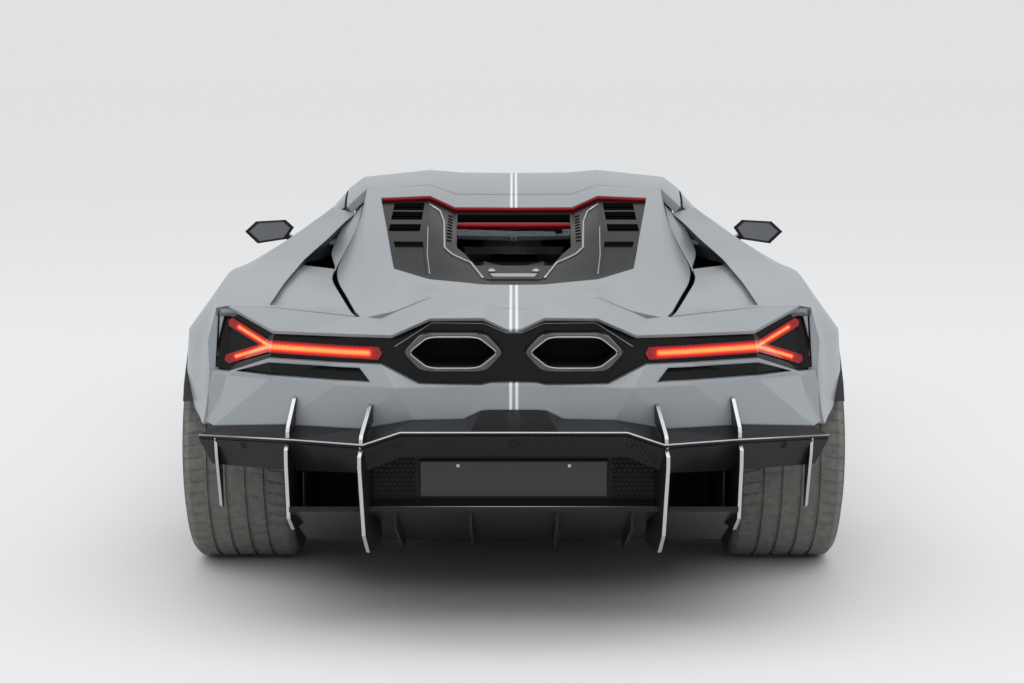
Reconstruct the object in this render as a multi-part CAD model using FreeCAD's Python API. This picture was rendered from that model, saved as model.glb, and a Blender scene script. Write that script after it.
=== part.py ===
"""Mid-engined two-seat supercar, built as separate body panels, glass, running gear and cabin pieces.

Frame: +Y is forwards, +X is the car's right, +Z is up, millimetres. The origin is on the ground under the
middle of the car's length and width. Right-hand pieces are modelled, and left-hand ones are their mirror image.
"""
import FreeCAD
import Part
import math
import os

V = FreeCAD.Vector

# Driving dimensions of the whole car.
LENGTH = 4947.0
WHEELBASE = 2779.0
REAR_OVERHANG = 1067.5
HALF_LENGTH = LENGTH / 2
REAR_AXLE_Y = -HALF_LENGTH + REAR_OVERHANG
FRONT_AXLE_Y = REAR_AXLE_Y + WHEELBASE
FRONT_WHEEL_X = 860.0
REAR_WHEEL_X = 850.5
FRONT_TYRE = {"radius": 346.5, "width": 265.0, "rim": 254.0}
REAR_TYRE = {"radius": 370.0, "width": 345.0, "rim": 266.7}
ARCH_GAP = 36.0
SKIN = 22.0
SHUT = 2.0
MOVING_SHUT = 6.2
FAR = 4000.0

# Hinges of the moving panels.
DOOR_HINGE = (905.0, 868.0, 800.0)
DOOR_TILT = 14.0
FRONT_LID_HINGE_Y = 930.0
FRONT_LID_HINGE_Z = 812.0
ENGINE_LID_HINGE_Y = -462.0
ENGINE_LID_HINGE_Z = 1140.0
KINGPIN_INSET = 75.25
HUB_PLANE = 62.0 - KINGPIN_INSET

# Lift pads under the sills: distance from the centre, front and rear places, height.
JACK_POINTS = (780.0, 700.0, -380.0, 112.0)

# Number plate carrier and its two screw holes: spacing and hole radius.
PLATE_HOLES = (440.0, 3.5)
PLATE_FACE_Y = -2330.0
PLATE_Z = 440.0


def track(stations):
    """A smooth guide line along the car: stations are (y, x, z), and the result gives (x, z) at any y."""
    st = sorted(stations)
    n = len(st)

    def slope(k, axis):
        if k == 0:
            a, b = st[0], st[1]
        elif k == n - 1:
            a, b = st[-2], st[-1]
        else:
            before = (st[k][axis] - st[k - 1][axis]) / (st[k][0] - st[k - 1][0])
            after = (st[k + 1][axis] - st[k][axis]) / (st[k + 1][0] - st[k][0])
            w0 = st[k + 1][0] - st[k][0]
            w1 = st[k][0] - st[k - 1][0]
            return (before * w0 + after * w1) / (w0 + w1)
        return (b[axis] - a[axis]) / (b[0] - a[0])

    slopes = [(slope(k, 1), slope(k, 2)) for k in range(n)]

    def at(y):
        k = 0
        while k < n - 2 and y > st[k + 1][0]:
            k += 1
        h = st[k + 1][0] - st[k][0]
        t = (y - st[k][0]) / h
        out = []
        for axis in (1, 2):
            p0, p1 = st[k][axis], st[k + 1][axis]
            m0, m1 = slopes[k][axis - 1] * h, slopes[k + 1][axis - 1] * h
            if t < 0:
                out.append(p0 + m0 * t)
            elif t > 1:
                out.append(p1 + m1 * (t - 1))
            else:
                out.append(
                    p0 * (2 * t**3 - 3 * t**2 + 1) + m0 * (t**3 - 2 * t**2 + t)
                    + p1 * (-2 * t**3 + 3 * t**2) + m1 * (t**3 - t**2))
        return tuple(out)

    return at


def shorten(line, start, end):
    """Takes start and end millimetres off the two ends of a polyline of (x, z) points."""
    pts = list(line)

    def pull(a, b, d):
        length = math.hypot(b[0] - a[0], b[1] - a[1])
        return (a[0] + (b[0] - a[0]) * d / length, a[1] + (b[1] - a[1]) * d / length)

    if start:
        pts[0] = pull(pts[0], pts[1], start)
    if end:
        pts[-1] = pull(pts[-1], pts[-2], end)
    return pts


def inset(line, depth):
    """The polyline moved inwards by depth, mitred at its corners. Inwards is to the right of its direction."""
    normals = []
    for a, b in zip(line, line[1:]):
        length = math.hypot(b[0] - a[0], b[1] - a[1])
        normals.append(((b[1] - a[1]) / length, -(b[0] - a[0]) / length))
    out = []
    for k, p in enumerate(line):
        n0 = normals[max(k - 1, 0)]
        n1 = normals[min(k, len(normals) - 1)]
        scale = depth / (1 + n0[0] * n1[0] + n0[1] * n1[1])
        out.append((p[0] + (n0[0] + n1[0]) * scale, p[1] + (n0[1] + n1[1]) * scale))
    return out


def polygon(points):
    return Part.makePolygon(points + [points[0]])


def loft(sections, ruled=False):
    """A solid through closed polygons of 3D points, all with the same number of corners."""
    return Part.makeLoft([polygon(s) for s in sections], True, ruled)


def skin_panel(lines, ys, depth=SKIN, both_sides=False, trims=(0.0, 0.0), ruled=False):
    """A panel as thick as depth between guide lines, through cross-sections at ys."""
    sections = []
    for y in ys:
        right = [line(y) for line in lines]
        if both_sides:
            right = shorten(right, 0, trims[1])
            outer = [(-x, z) for x, z in reversed(right) if x > 1] + right
        else:
            outer = shorten(right, *trims)
        inner = inset(outer, depth)
        sections.append([V(x, y, z) for x, z in outer + inner[::-1]])
    return loft(sections, ruled)


def prism_x(outline, x0=-FAR, x1=FAR):
    """A side-view outline of (y, z) points, run across the car."""
    face = Part.Face(polygon([V(x0, y, z) for y, z in outline]))
    return face.extrude(V(x1 - x0, 0, 0))


def prism_y(outline, y0=-FAR, y1=FAR):
    """A rear-view outline of (x, z) points, run along the car."""
    face = Part.Face(polygon([V(x, y0, z) for x, z in outline]))
    return face.extrude(V(0, y1 - y0, 0))


def prism_z(outline, z0=-FAR, z1=FAR):
    """A plan outline of (x, y) points, run upwards."""
    face = Part.Face(polygon([V(x, y, z0) for x, y in outline]))
    return face.extrude(V(0, 0, z1 - z0))


def block(x0, x1, y0, y1, z0, z1):
    return Part.makeBox(x1 - x0, y1 - y0, z1 - z0, V(x0, y0, z0))


def cylinder_x(radius, x0, x1, y, z):
    return Part.makeCylinder(radius, x1 - x0, V(x0, y, z), V(1, 0, 0))


def mirrored(shape):
    return shape.mirror(V(0, 0, 0), V(1, 0, 0))


def mirrored_outline(outline):
    return outline + [(-x, z) for x, z in reversed(outline) if x > 0.5]


def fuse(first, *others):
    return first.multiFuse(list(others)).removeSplitter()


def fitted(shape, *neighbours):
    """The shape trimmed to lie against its neighbours: the largest solid that is left."""
    for other in neighbours:
        shape = shape.cut(other)
    return max(shape.Solids, key=lambda solid: solid.Volume)


# Guide lines of the outer skin, each a list of (y, x, z).
CENTRE = track([(2440, 0, 472), (2300, 0, 535), (2000, 0, 632), (1700, 0, 700), (1373, 0, 752), (1150, 0, 802),
                (830, 0, 915), (500, 0, 1037), (250, 0, 1108), (0, 0, 1148), (-300, 0, 1128), (-460, 0, 1099)])
BUBBLE = track([(2440, 200, 476), (2300, 240, 540), (2000, 300, 640), (1700, 330, 708), (1373, 345, 760),
                (1150, 345, 806), (830, 340, 907), (500, 332, 1035), (250, 328, 1118), (0, 325, 1160),
                (-300, 312, 1150), (-460, 305, 1133)])
VALLEY = track([(2440, 100, 474), (2300, 120, 538), (2000, 150, 636), (1700, 165, 704), (1373, 172, 756),
                (1150, 172, 804), (830, 170, 911), (500, 175, 1036), (250, 185, 1111), (0, 198, 1150),
                (-300, 206, 1130), (-460, 211, 1100)])
ROOF_EDGE = track([(1150, 612, 772), (950, 612, 818), (830, 608, 850), (500, 590, 985), (250, 582, 1085),
                   (0, 577, 1132), (-300, 555, 1133), (-460, 536, 1119)])
DRIP = track([(1150, 720, 765), (950, 702, 792), (830, 690, 818), (500, 655, 935), (250, 642, 1035),
              (0, 634, 1090), (-300, 622, 1075), (-460, 611, 1050)])
HOOD_EDGE = track([(2300, 500, 510), (2050, 545, 605), (1700, 585, 680), (1373, 612, 736), (1050, 668, 778),
                   (830, 690, 818)])
PEAK = track([(2300, 660, 515), (2050, 700, 615), (1700, 760, 715), (1373, 800, 785), (1050, 800, 806),
              (830, 800, 806)])
BELT = track([(830, 800, 806), (500, 822, 818), (0, 850, 848), (-440, 845, 880)])
SHOULDER = track([(2300, 770, 470), (2050, 835, 562), (1700, 893, 668), (1373, 925, 742), (1050, 920, 765),
                  (830, 908, 770), (500, 905, 778), (0, 912, 800), (-440, 928, 838), (-700, 930, 868),
                  (-1000, 918, 895), (-1350, 915, 913), (-1700, 897, 905), (-1950, 872, 893), (-2060, 858, 886)])
WAIST = track([(2300, 850, 400), (2050, 905, 480), (1700, 958, 565), (1373, 986, 645), (1050, 977, 640),
               (830, 958, 640), (500, 928, 645), (0, 928, 660), (-440, 965, 700), (-700, 985, 740),
               (-1000, 1000, 775), (-1400, 1012, 765), (-1700, 996, 770), (-1950, 910, 790), (-2060, 884, 790)])
HOLLOW = track([(2300, 870, 300), (2050, 922, 340), (1700, 968, 400), (1373, 988, 450), (1050, 972, 470),
                (830, 950, 470), (500, 890, 468), (0, 872, 460), (-440, 920, 470), (-700, 975, 520),
                (-1000, 1008, 600), (-1400, 1017, 640), (-1700, 1006, 650), (-1950, 925, 640), (-2060, 880, 660)])
SILL_TOP = track([(2050, 915, 220), (1700, 960, 250), (1373, 975, 280), (1050, 968, 292), (830, 965, 290),
                  (500, 952, 290), (0, 955, 290), (-440, 988, 290), (-700, 1000, 300), (-1000, 1005, 330),
                  (-1400, 1010, 450), (-1700, 985, 520), (-1950, 932, 520), (-2080, 905, 520)])
SILL_FOOT = track([(2064, 905, 128), (1700, 938, 135), (1373, 950, 140), (1050, 948, 138), (830, 945, 128),
                   (500, 930, 122), (0, 932, 122), (-440, 965, 128), (-700, 978, 135), (-1000, 990, 145)])

# The door's outline in side view, and the plan line that parts it from roof and windscreen pillar.
DOOR_FRONT_Y = 842.0
DOOR_REAR_TOP_Y = -446.0
DOOR_SILL_Z = 293.0
DOOR_REAR_FOOT_Y = -330.0


def door_outline(grow=0.0):
    radius = math.hypot(DOOR_HINGE[1] - DOOR_REAR_TOP_Y, 80.0) + grow
    rear = []
    for z in (DOOR_SILL_Z - grow, 420.0, 560.0, 700.0, DOOR_HINGE[2]):
        rear.append((DOOR_HINGE[1] - math.sqrt(radius**2 - (z - DOOR_HINGE[2]) ** 2), z))
    return [(DOOR_FRONT_Y + grow, DOOR_SILL_Z - grow)] + rear + [
        (DOOR_REAR_TOP_Y - grow, 900.0), (DOOR_REAR_TOP_Y - grow, 1300.0), (DOOR_FRONT_Y + grow, 1300.0)]


# Cross-section stations of each skin zone.
ROOF_YS = [1150, 990, 830, 660, 500, 370, 250, 120, 0, -150, -300, -460]
HOOD_YS = [2150, 1990, 1820, 1640, 1460, 1280, 1100, 960]
FENDER_YS = [2062, 1900, 1700, 1540, 1373, 1210, 1050, 940, 848]
SKIRT_YS = [846, 660, 500, 330, 160, 0, -150, -298]
DOOR_YS = [846, 660, 500, 330, 160, 0, -150, -300, -450]
QUARTER_YS = [-300, -440, -580, -720, -860, -1000, -1130, -1260, -1400, -1550, -1700, -1830, -1950, -2060]

WINDSCREEN_BASE = [(0, 1172), (330, 1140), (560, 1040), (590, 1000)]
WINDSCREEN_HEAD = [(505, 335), (300, 312), (0, 306)]


def windscreen_plan(grow=0.0):
    right = [(x + (grow if x > 400 else 0), y + (grow if y > 600 else -grow))
             for x, y in WINDSCREEN_BASE + WINDSCREEN_HEAD]
    return right + [(-x, y) for x, y in reversed(right) if x > 0.5]


HOOD_REAR = [(0, 1184), (335, 1150), (572, 1046), (740, 930)]


def hood_zone(grow=0.0):
    """Plan zone of the front lid, open to the sides."""
    rear = [(x, y - grow) for x, y in HOOD_REAR]
    right = rear + [(900, 2140 + 2 * grow), (0, 2140 + 2 * grow)]
    return right + [(-x, y) for x, y in reversed(right) if x > 0.5]


def front_lid():
    lines = [CENTRE, BUBBLE, HOOD_EDGE]
    panel = skin_panel(lines, HOOD_YS, SKIN, True, (0, MOVING_SHUT))
    return panel.common(prism_z(hood_zone(-MOVING_SHUT)))


def roof_frame():
    """Roof panel with its windscreen pillars, cut upright at the drip line so that the doors lift past it."""
    lines = [CENTRE, VALLEY, BUBBLE, ROOF_EDGE, DRIP]
    shell = skin_panel(lines, ROOF_YS, 28.0, True, (0, 1.0))
    cowl = [(0, -900), (900, -900), (900, 846), (687, 846), (673, 930), (660, 974), (572, 1046), (335, 1150), (0, 1184)]
    shell = shell.common(prism_z(mirrored_outline([(x, y - SHUT if y > 900 else y) for x, y in cowl])))
    return shell.cut(prism_z(windscreen_plan(2.0)))


def windscreen():
    lines = [CENTRE, VALLEY, BUBBLE, ROOF_EDGE]
    pane = skin_panel(lines, ROOF_YS, 6.0, True)
    return pane.common(prism_z(windscreen_plan()))


def front_fender():
    lines = [HOOD_EDGE, PEAK, SHOULDER, WAIST, HOLLOW, SILL_TOP, SILL_FOOT]
    panel = skin_panel(lines, FENDER_YS, SKIN, False, (SHUT, 0))
    arch = cylinder_x(FRONT_TYRE["radius"] + ARCH_GAP, 500, 1300, FRONT_AXLE_Y, FRONT_TYRE["radius"])
    return panel.cut(arch)


def side_skirt():
    return skin_panel([SILL_TOP, SILL_FOOT], SKIRT_YS, 20.0, ruled=True)


def door_shell():
    lines = [BELT, SHOULDER, WAIST, HOLLOW, SILL_TOP]
    panel = skin_panel(lines, DOOR_YS, 62.0, False)
    return panel.common(prism_x(door_outline(-MOVING_SHUT)))


def door_glass():
    lines = [DRIP, BELT]
    pane = skin_panel(lines, DOOR_YS, 5.0, False, (MOVING_SHUT + 4.0, 3.0))
    return pane.common(prism_x(door_outline(-MOVING_SHUT - 4.0)))


BLADE_YS = [-461, -580, -720, -860, -1000, -1130, -1260, -1400, -1550, -1700, -1830, -1950, -2060]
BLADE_INNER = track([(-461, 578, 1030), (-600, 604, 1010), (-850, 650, 968), (-1100, 700, 927), (-1300, 708, 915),
                     (-1600, 712, 905), (-1960, 714, 884)])
BLADE_OUTER = track([(-461, 664, 1050), (-600, 712, 1016), (-850, 775, 975), (-1100, 835, 938),
                     (-1300, 848, 922), (-1600, 790, 905), (-1960, 732, 889)])
CHANNEL_IN = track([(-990, 612, 893), (-1300, 590, 878), (-1600, 540, 868), (-1900, 482, 852), (-2060, 458, 862)])
CHANNEL_OUT = track([(-990, 712, 905), (-1300, 716, 895), (-1600, 716, 888), (-1900, 716, 876),
                     (-2060, 716, 890)])
DECK_YS = [-1060, -1200, -1350, -1500, -1650, -1800, -1950, -2060]
FLANK_EDGE = track([(-464, 585, 1022), (-540, 604, 1004), (-640, 620, 978), (-720, 633, 945), (-850, 633, 914),
                    (-990, 610, 893), (-1075, 609, 887)])
FLANK_YS = [-464, -540, -640, -720, -850, -990, -1075]


def buttress():
    """The blade that runs from the roof's rear corner down to the shoulder, over the air channel."""
    sections = []
    for y in BLADE_YS:
        xi, zi = BLADE_INNER(y)
        xo, zo = BLADE_OUTER(y)
        xs, zs = SHOULDER(y)
        slope = math.hypot(xs - xo, zs - zo)
        drop = min(1.0, 110.0 / slope + max(0.0, (-860.0 - y) / 240.0))
        low = (xo + (xs - xo) * drop - 0.5, zo + (zs - zo) * drop - 0.3)
        sections.append([V(xi, y, zi), V(xo, y, zo), V(low[0], y, low[1]),
                         V(low[0] - 40, y, low[1] - 24), V(xi + 12, y, zi - 30)])
    return loft(sections)


def under_blade(y):
    x, z = CHANNEL_OUT(y)
    return x + 60, z - 8


def lid_foot_side(y):
    x, z = LID_FOOT(y)
    return x + 3, z - 2


def quarter():
    side_lines = [SHOULDER, WAIST, HOLLOW, SILL_TOP, SILL_FOOT]
    side = skin_panel(side_lines, QUARTER_YS, 28.0)
    deck = skin_panel([CHANNEL_IN, CHANNEL_OUT, under_blade], DECK_YS, 28.0)
    flank = skin_panel([lid_foot_side, FLANK_EDGE], FLANK_YS, 12.0)
    body = fuse(side, deck, buttress(), flank)
    body = body.cut(prism_x(door_outline(SHUT)))
    intake = prism_x([(-470, 770), (-760, 700), (-840, 560), (-760, 380), (-560, 330), (-440, 380)], 500, 1300)
    arch = cylinder_x(REAR_TYRE["radius"] + ARCH_GAP, 480, 1300, REAR_AXLE_Y, REAR_TYRE["radius"])
    return body.cut(intake).cut(arch).cut(block(500, 1300, -2200, REAR_AXLE_Y, -10, 546))


LID_YS = [-466, -600, -800, -1000, -1200, -1400, -1600, -1750, -1900, -2066]
LID_CENTRE = track([(-466, 0, 1097), (-600, 0, 1062), (-1000, 0, 1002), (-1400, 0, 945), (-1680, 0, 908),
                    (-1900, 0, 890), (-2066, 0, 884)])
LID_VALLEY = track([(-466, 211, 1098), (-600, 211, 1063), (-1000, 180, 1003), (-1400, 130, 946), (-1680, 95, 909),
                    (-1900, 66, 890), (-2066, 44, 884)])
LID_CREASE = track([(-466, 304, 1132), (-600, 300, 1104), (-1000, 285, 1032), (-1400, 270, 955),
                    (-1620, 260, 918), (-1900, 246, 912), (-2066, 242, 916)])
LID_RIM = track([(-466, 500, 1122), (-620, 475, 1098), (-1000, 433, 1032), (-1500, 378, 938), (-1900, 350, 892),
                 (-2066, 340, 878)])
LID_EDGE = track([(-466, 536, 1118), (-620, 530, 1092), (-1000, 508, 1010), (-1500, 470, 910), (-1900, 440, 856),
                  (-2066, 430, 858)])
LID_FOOT = track([(-466, 548, 1062), (-620, 556, 1000), (-800, 580, 938), (-1000, 598, 894), (-1300, 578, 876),
                  (-1600, 530, 866), (-1900, 474, 850), (-2066, 450, 857)])
LID_WINDOW = [(0, -600), (211, -600), (300, -600), (475, -620), (378, -1500), (260, -1620), (95, -1680), (0, -1682)]


def window_plan(grow=0.0):
    right = [(x + (grow if x > 300 else 0), y + (grow if y > -1000 else -grow)) for x, y in LID_WINDOW]
    return right + [(-x, y) for x, y in reversed(right) if x > 0.5]


def engine_lid():
    lines = [LID_CENTRE, LID_VALLEY, LID_CREASE, LID_RIM, LID_EDGE, LID_FOOT]
    shell = skin_panel(lines, LID_YS, 24.0, True, (0, MOVING_SHUT))
    return shell.cut(prism_z(window_plan()))


LOUVRES = [(-640, 104), (-764, 112), (-934, 90)]
POCKET = [(302, -1145), (400, -1145), (360, -1450), (275, -1510)]


def engine_vents():
    """Black louvred cover that fills the lid's window around the open engine bay, with slats in its slots."""
    lines = [LID_CENTRE, LID_VALLEY, LID_CREASE, LID_RIM]
    sunk = 14.0
    shell = skin_panel(lines, LID_YS, 30.0, True)
    shell.translate(V(0, 0, -sunk))
    shell = shell.common(prism_z(window_plan(0.0)))
    opening = [(0, -640), (200, -640), (190, -1150), (160, -1230), (71, -1590), (0, -1590)]
    shell = shell.cut(prism_z(mirrored_outline(opening)))
    lower = shell.copy()
    lower.translate(V(0, 0, -10))
    for side in (1, -1):
        pocket = prism_z([(side * x, y) for x, y in POCKET])
        shell = shell.cut(pocket).fuse(lower.common(pocket))
        for y, length in LOUVRES:
            shell = shell.cut(block(*sorted((side * 318, side * 424)), y - length, y, 900, 1200))
    for y, length in LOUVRES:
        front_z = LID_CREASE(y)[1] - sunk
        rear_z = LID_CREASE(y - length)[1] - sunk
        for k in range(3):
            y0 = y + 2 - k * length / 3
            z0 = front_z + (rear_z - front_z) * k / 3
            slat = prism_x([(y0, z0 - 27), (y0, z0 - 22), (y0 - length / 3 + 8, z0 - 9), (y0 - length / 3 + 8, z0 - 14)],
                           316, 426)
            shell = shell.fuse(slat).fuse(mirrored(slat))
    return shell.removeSplitter()


# The tail: rows of corners from deck edge to bumper foot, each (x, y, z), from the centre outwards.
def plate(rows, *thickness):
    """A panel of ruled facets through rows of corners. Each row has its thickness vector, or all share one."""
    outer = [[V(*p) for p in row] for row in rows]
    depths = [V(*t) for t in thickness] * (len(rows) if len(thickness) == 1 else 1)
    inner = [[p + depth for p in row] for row, depth in zip(outer, depths)]
    faces = []
    top, foot, end = 0, len(outer) - 1, len(outer[0]) - 1
    middle = end / 2 if outer[0][0].x < -1 else 0

    def quad(a, b, c, d, turned=False):
        normal = (b - a).cross(d - a)
        if abs((c - a).dot(normal)) < 1e-3 * normal.Length:
            faces.append(Part.Face(polygon([a, b, c, d])))
        elif turned:
            faces.append(Part.Face(polygon([a, b, d])))
            faces.append(Part.Face(polygon([b, c, d])))
        else:
            faces.append(Part.Face(polygon([a, b, c])))
            faces.append(Part.Face(polygon([a, c, d])))

    for r in range(foot):
        for c in range(end):
            left = c < middle
            quad(outer[r][c], outer[r][c + 1], outer[r + 1][c + 1], outer[r + 1][c], left)
            quad(inner[r][c], inner[r + 1][c], inner[r + 1][c + 1], inner[r][c + 1], left)
        quad(outer[r][0], outer[r + 1][0], inner[r + 1][0], inner[r][0])
        quad(outer[r + 1][end], outer[r][end], inner[r][end], inner[r + 1][end], True)
    for c in range(end):
        left = c < middle
        quad(outer[top][c + 1], outer[top][c], inner[top][c], inner[top][c + 1], left)
        quad(outer[foot][c], outer[foot][c + 1], inner[foot][c + 1], inner[foot][c], left)
    shell = Part.makeShell(faces)
    shell.sewShape()
    solid = Part.makeSolid(Part.Shell(shell.Faces))
    if solid.Volume < 0:
        solid.reverse()
    return solid.removeSplitter()


def both(row):
    return [(-x, y, z) for x, y, z in reversed(row) if x > 0.5] + row


TAIL_DECK = [(0, -2079, 885), (42, -2079, 885), (83, -2079, 907), (237, -2079, 918), (383, -2079, 858),
             (460, -2076, 862), (716, -2066, 890), (858, -2062, 886)]
TAIL_BROW = [(0, -2310, 850), (20, -2310, 850), (85, -2310, 881), (232, -2300, 878), (340, -2280, 828),
             (460, -2255, 828), (681, -2180, 826), (824, -2068, 884)]
BAND_FOOT = [(0, -2320, 709), (63, -2320, 709), (90, -2320, 703), (262, -2320, 706), (369, -2290, 755),
             (500, -2260, 756), (692, -2200, 759), (821, -2100, 706)]
TAIL_CREASE = [(0, -2322, 700), (63, -2322, 700), (90, -2322, 694), (262, -2324, 696), (330, -2328, 696),
               (500, -2285, 697), (692, -2200, 700), (826, -2100, 696)]
LIP_REAR = [(0, -2330, 635), (60, -2330, 635), (90, -2330, 633), (139, -2330, 609), (280, -2330, 606),
            (429, -2310, 578), (651, -2260, 581), (859, -2150, 557)]
LIP_EDGE = [(0, -2446, 594), (40, -2446, 594), (60, -2446, 594), (120, -2446, 594), (309, -2446, 593),
            (410, -2458, 561), (630, -2352, 556), (903, -2152, 530)]
BAND_SUNK = 26.0
OUTLET = [(798, 711), (692, 748), (430, 745), (398, 708)]


def tail_panel():
    """Body-coloured tail: the brow above the lamp band, and the bumper below it with its air outlets."""
    edge = [(x, y, z + 9) for x, y, z in TAIL_BROW]
    brow = plate([both(TAIL_DECK), both(edge)], (0, 0, -24), (0, 6, -9))
    corner = [(882, -2058, 706), (882, -2058, 696), (898, -2058, 555)]
    rows = [both(row + [end]) for row, end in zip((BAND_FOOT, TAIL_CREASE, LIP_REAR), corner)]
    low = plate(rows, (0, 30, 0))
    for side in (1, -1):
        low = low.cut(prism_y([(side * x, z) for x, z in OUTLET]))
    return brow, low


def outlet_backing():
    """Black plate behind the slot under each lamp."""
    top = [(x, y + 24, z - 2) for x, y, z in BAND_FOOT[4:]]
    foot = [(x, y + 24, z + 2) for x, y, z in TAIL_CREASE[4:]]
    return plate([top, foot], (0, 14, 0))


def band_layer(front, thickness):
    """A layer of the lamp band, whose face is front millimetres ahead of the bodywork's edges."""
    top = [(x, y + front, z + 0.2) for x, y, z in TAIL_BROW] + [(852, -2064 + front - BAND_SUNK, 879)]
    foot = [(x, y + front, z + 0.3) for x, y, z in BAND_FOOT] + [(864, -2064 + front - BAND_SUNK, 714)]
    return plate([both(top), both(foot)], (0, thickness, 0))


def lamp_band():
    """The black band across the tail that holds lamps and exhausts, sunk behind the bodywork."""
    band = band_layer(BAND_SUNK, 18.0)
    for side in (1, -1):
        band = band.cut(prism_y([(side * (x + EXHAUST_X), z + EXHAUST_Z) for x, z in hexagon(*EXHAUST_SIZE)]))
    return band


LAMP_HUB = (693, 789)
LAMP_TIPS = [(818, 845, 13), (828, 738, 13), (378, 783, 17)]


def tail_lamp():
    """Y-shaped red lens on the lamp band: two short arms outside and one long arm towards the exhaust."""
    pieces = []
    for x, z, half in LAMP_TIPS:
        run = V(x - LAMP_HUB[0], z - LAMP_HUB[1], 0).normalize()
        side = (-run.y * half, run.x * half)
        hub = LAMP_HUB
        outline = [(hub[0] + side[0], hub[1] + side[1]), (x + side[0], z + side[1]),
                   (x + run.x * half * 0.6, z + run.y * half * 0.6),
                   (x - side[0], z - side[1]), (hub[0] - side[0], hub[1] - side[1])]
        pieces.append(prism_y(outline, -2400, -2000))
    hub_round = Part.makeCylinder(13, 400, V(LAMP_HUB[0], -2400, LAMP_HUB[1]), V(0, 1, 0))
    shape = fuse(hub_round, *pieces)
    return band_layer(BAND_SUNK - 8.0, 8.0).common(shape)


EXHAUST_X = 167.0
EXHAUST_Z = 797.0
EXHAUST_SIZE = (138.0, 52.0, 80.0)


def hexagon(half_width, half_height, flat):
    return [(-half_width, 0), (-flat, half_height), (flat, half_height), (half_width, 0),
            (flat, -half_height), (-flat, -half_height)]


def exhaust_tip():
    outer = [(x + EXHAUST_X, z + EXHAUST_Z) for x, z in hexagon(*EXHAUST_SIZE)]
    inner = [(x + EXHAUST_X, z + EXHAUST_Z) for x, z in hexagon(120, 38, 72)]
    return prism_y(outer, -2338, -2180).cut(prism_y(inner, -2400, -2200))


def rear_lip():
    """Carbon shelf at the bumper's foot and the upright band under it."""
    shelf = plate([both(LIP_REAR), both(LIP_EDGE)], (0, 8, -14))
    band_top = [(x, y + 3, z - 12) for x, y, z in LIP_EDGE]
    band_foot = [(0, -2400, 520), (40, -2400, 520), (60, -2400, 520), (120, -2400, 520), (309, -2395, 515),
                 (420, -2390, 470), (620, -2290, 455), (870, -2120, 440)]
    band = plate([both(band_top), both(band_foot)], (0, 16, 0))
    return fuse(shelf, band)


def diffuser():
    """Black lower tail: the tunnel floor that rises behind the axle, its strakes, and the plate recess."""
    floor = prism_x([(-2378, 358), (-2378, 372), (-1900, 178), (-1256, 132), (-1256, 120), (-1900, 162)], -622, 622)
    strake = prism_x([(-2370, 360), (-2350, 300), (-1960, 150), (-1700, 150), (-1700, 152), (-1980, 190)], 0, 8)
    parts = [floor]
    for x in (-334, -124, 116, 326):
        blade = strake.copy()
        blade.translate(V(x, 0, 0))
        parts.append(blade)
    recess = block(-436, 436, PLATE_FACE_Y + 8, PLATE_FACE_Y + 20, 340, 520)
    return fuse(*(parts + [recess]))


def plate_carrier():
    """Blank number plate on its carrier, with two screw holes."""
    board = block(-265, 265, PLATE_FACE_Y, PLATE_FACE_Y + 8, PLATE_Z - 55, PLATE_Z + 55)
    for side in (-1, 1):
        hole = Part.makeCylinder(PLATE_HOLES[1], 40, V(side * PLATE_HOLES[0] / 2, PLATE_FACE_Y - 10, PLATE_Z), V(0, 1, 0))
        board = board.cut(hole)
    return board


def tail_fins():
    """Silver-edged upright blades on the bumper: two tall pairs, turned in a little, and a short outer pair."""
    rear = 1 - HALF_LENGTH
    inner = prism_x([(-2300, 650), (-2330, 645), (-2440, 586), (-2449, 575), (-2449, 546), (rear, 530),
                     (rear, 500), (-2424, 300), (-2370, 240), (-2200, 235), (-2240, 420), (-2350, 500),
                     (-2400, 540), (-2400, 576), (-2300, 600)], 414, 424)
    outer = prism_x([(-2230, 662), (-2262, 655), (-2338, 588), (-2344, 575), (-2344, 542), (-2366, 528),
                     (-2366, 486), (-2346, 330), (-2298, 288), (-2120, 280), (-2150, 420), (-2230, 500),
                     (-2300, 530), (-2300, 570), (-2230, 600)], 622, 632)
    short = prism_x([(-2186, 528), (-2178, 480), (-2104, 312), (-2070, 300), (-2084, 420), (-2120, 520)], 846, 854)
    inner.rotate(V(419, rear, 0), V(0, 0, 1), 8)
    outer.rotate(V(627, -2344, 0), V(0, 0, 1), 8)
    return inner, outer, short


# Running gear.
TYRE_FLATS = 72


def tyre(spec):
    """Tyre as a ring of flats, one of them level with the ground. The flats' middles lie on the true profile."""
    r, w, rim = spec["radius"], spec["width"] / 2, spec["rim"]
    half = [(w * 0.74, rim), (w * 0.97, rim + 20), (w, rim + 50), (w * 0.84, r)]
    outline = half + [(-x, z) for x, z in reversed(half)]
    grow = 1 / math.cos(math.pi / TYRE_FLATS)
    rings = []
    for k in range(TYRE_FLATS):
        angle = 2 * math.pi * (k + 0.5) / TYRE_FLATS
        rings.append([V(x, -z * grow * math.sin(angle), -z * grow * math.cos(angle)) for x, z in outline])
    faces = []
    for k, ring in enumerate(rings):
        after = rings[(k + 1) % TYRE_FLATS]
        for c in range(len(outline)):
            d = (c + 1) % len(outline)
            faces.append(Part.Face(polygon([ring[c], ring[d], after[d], after[c]])))
    shell = Part.makeShell(faces)
    shell.sewShape()
    solid = Part.makeSolid(Part.Shell(shell.Faces))
    if solid.Volume < 0:
        solid.reverse()
    return solid


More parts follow.
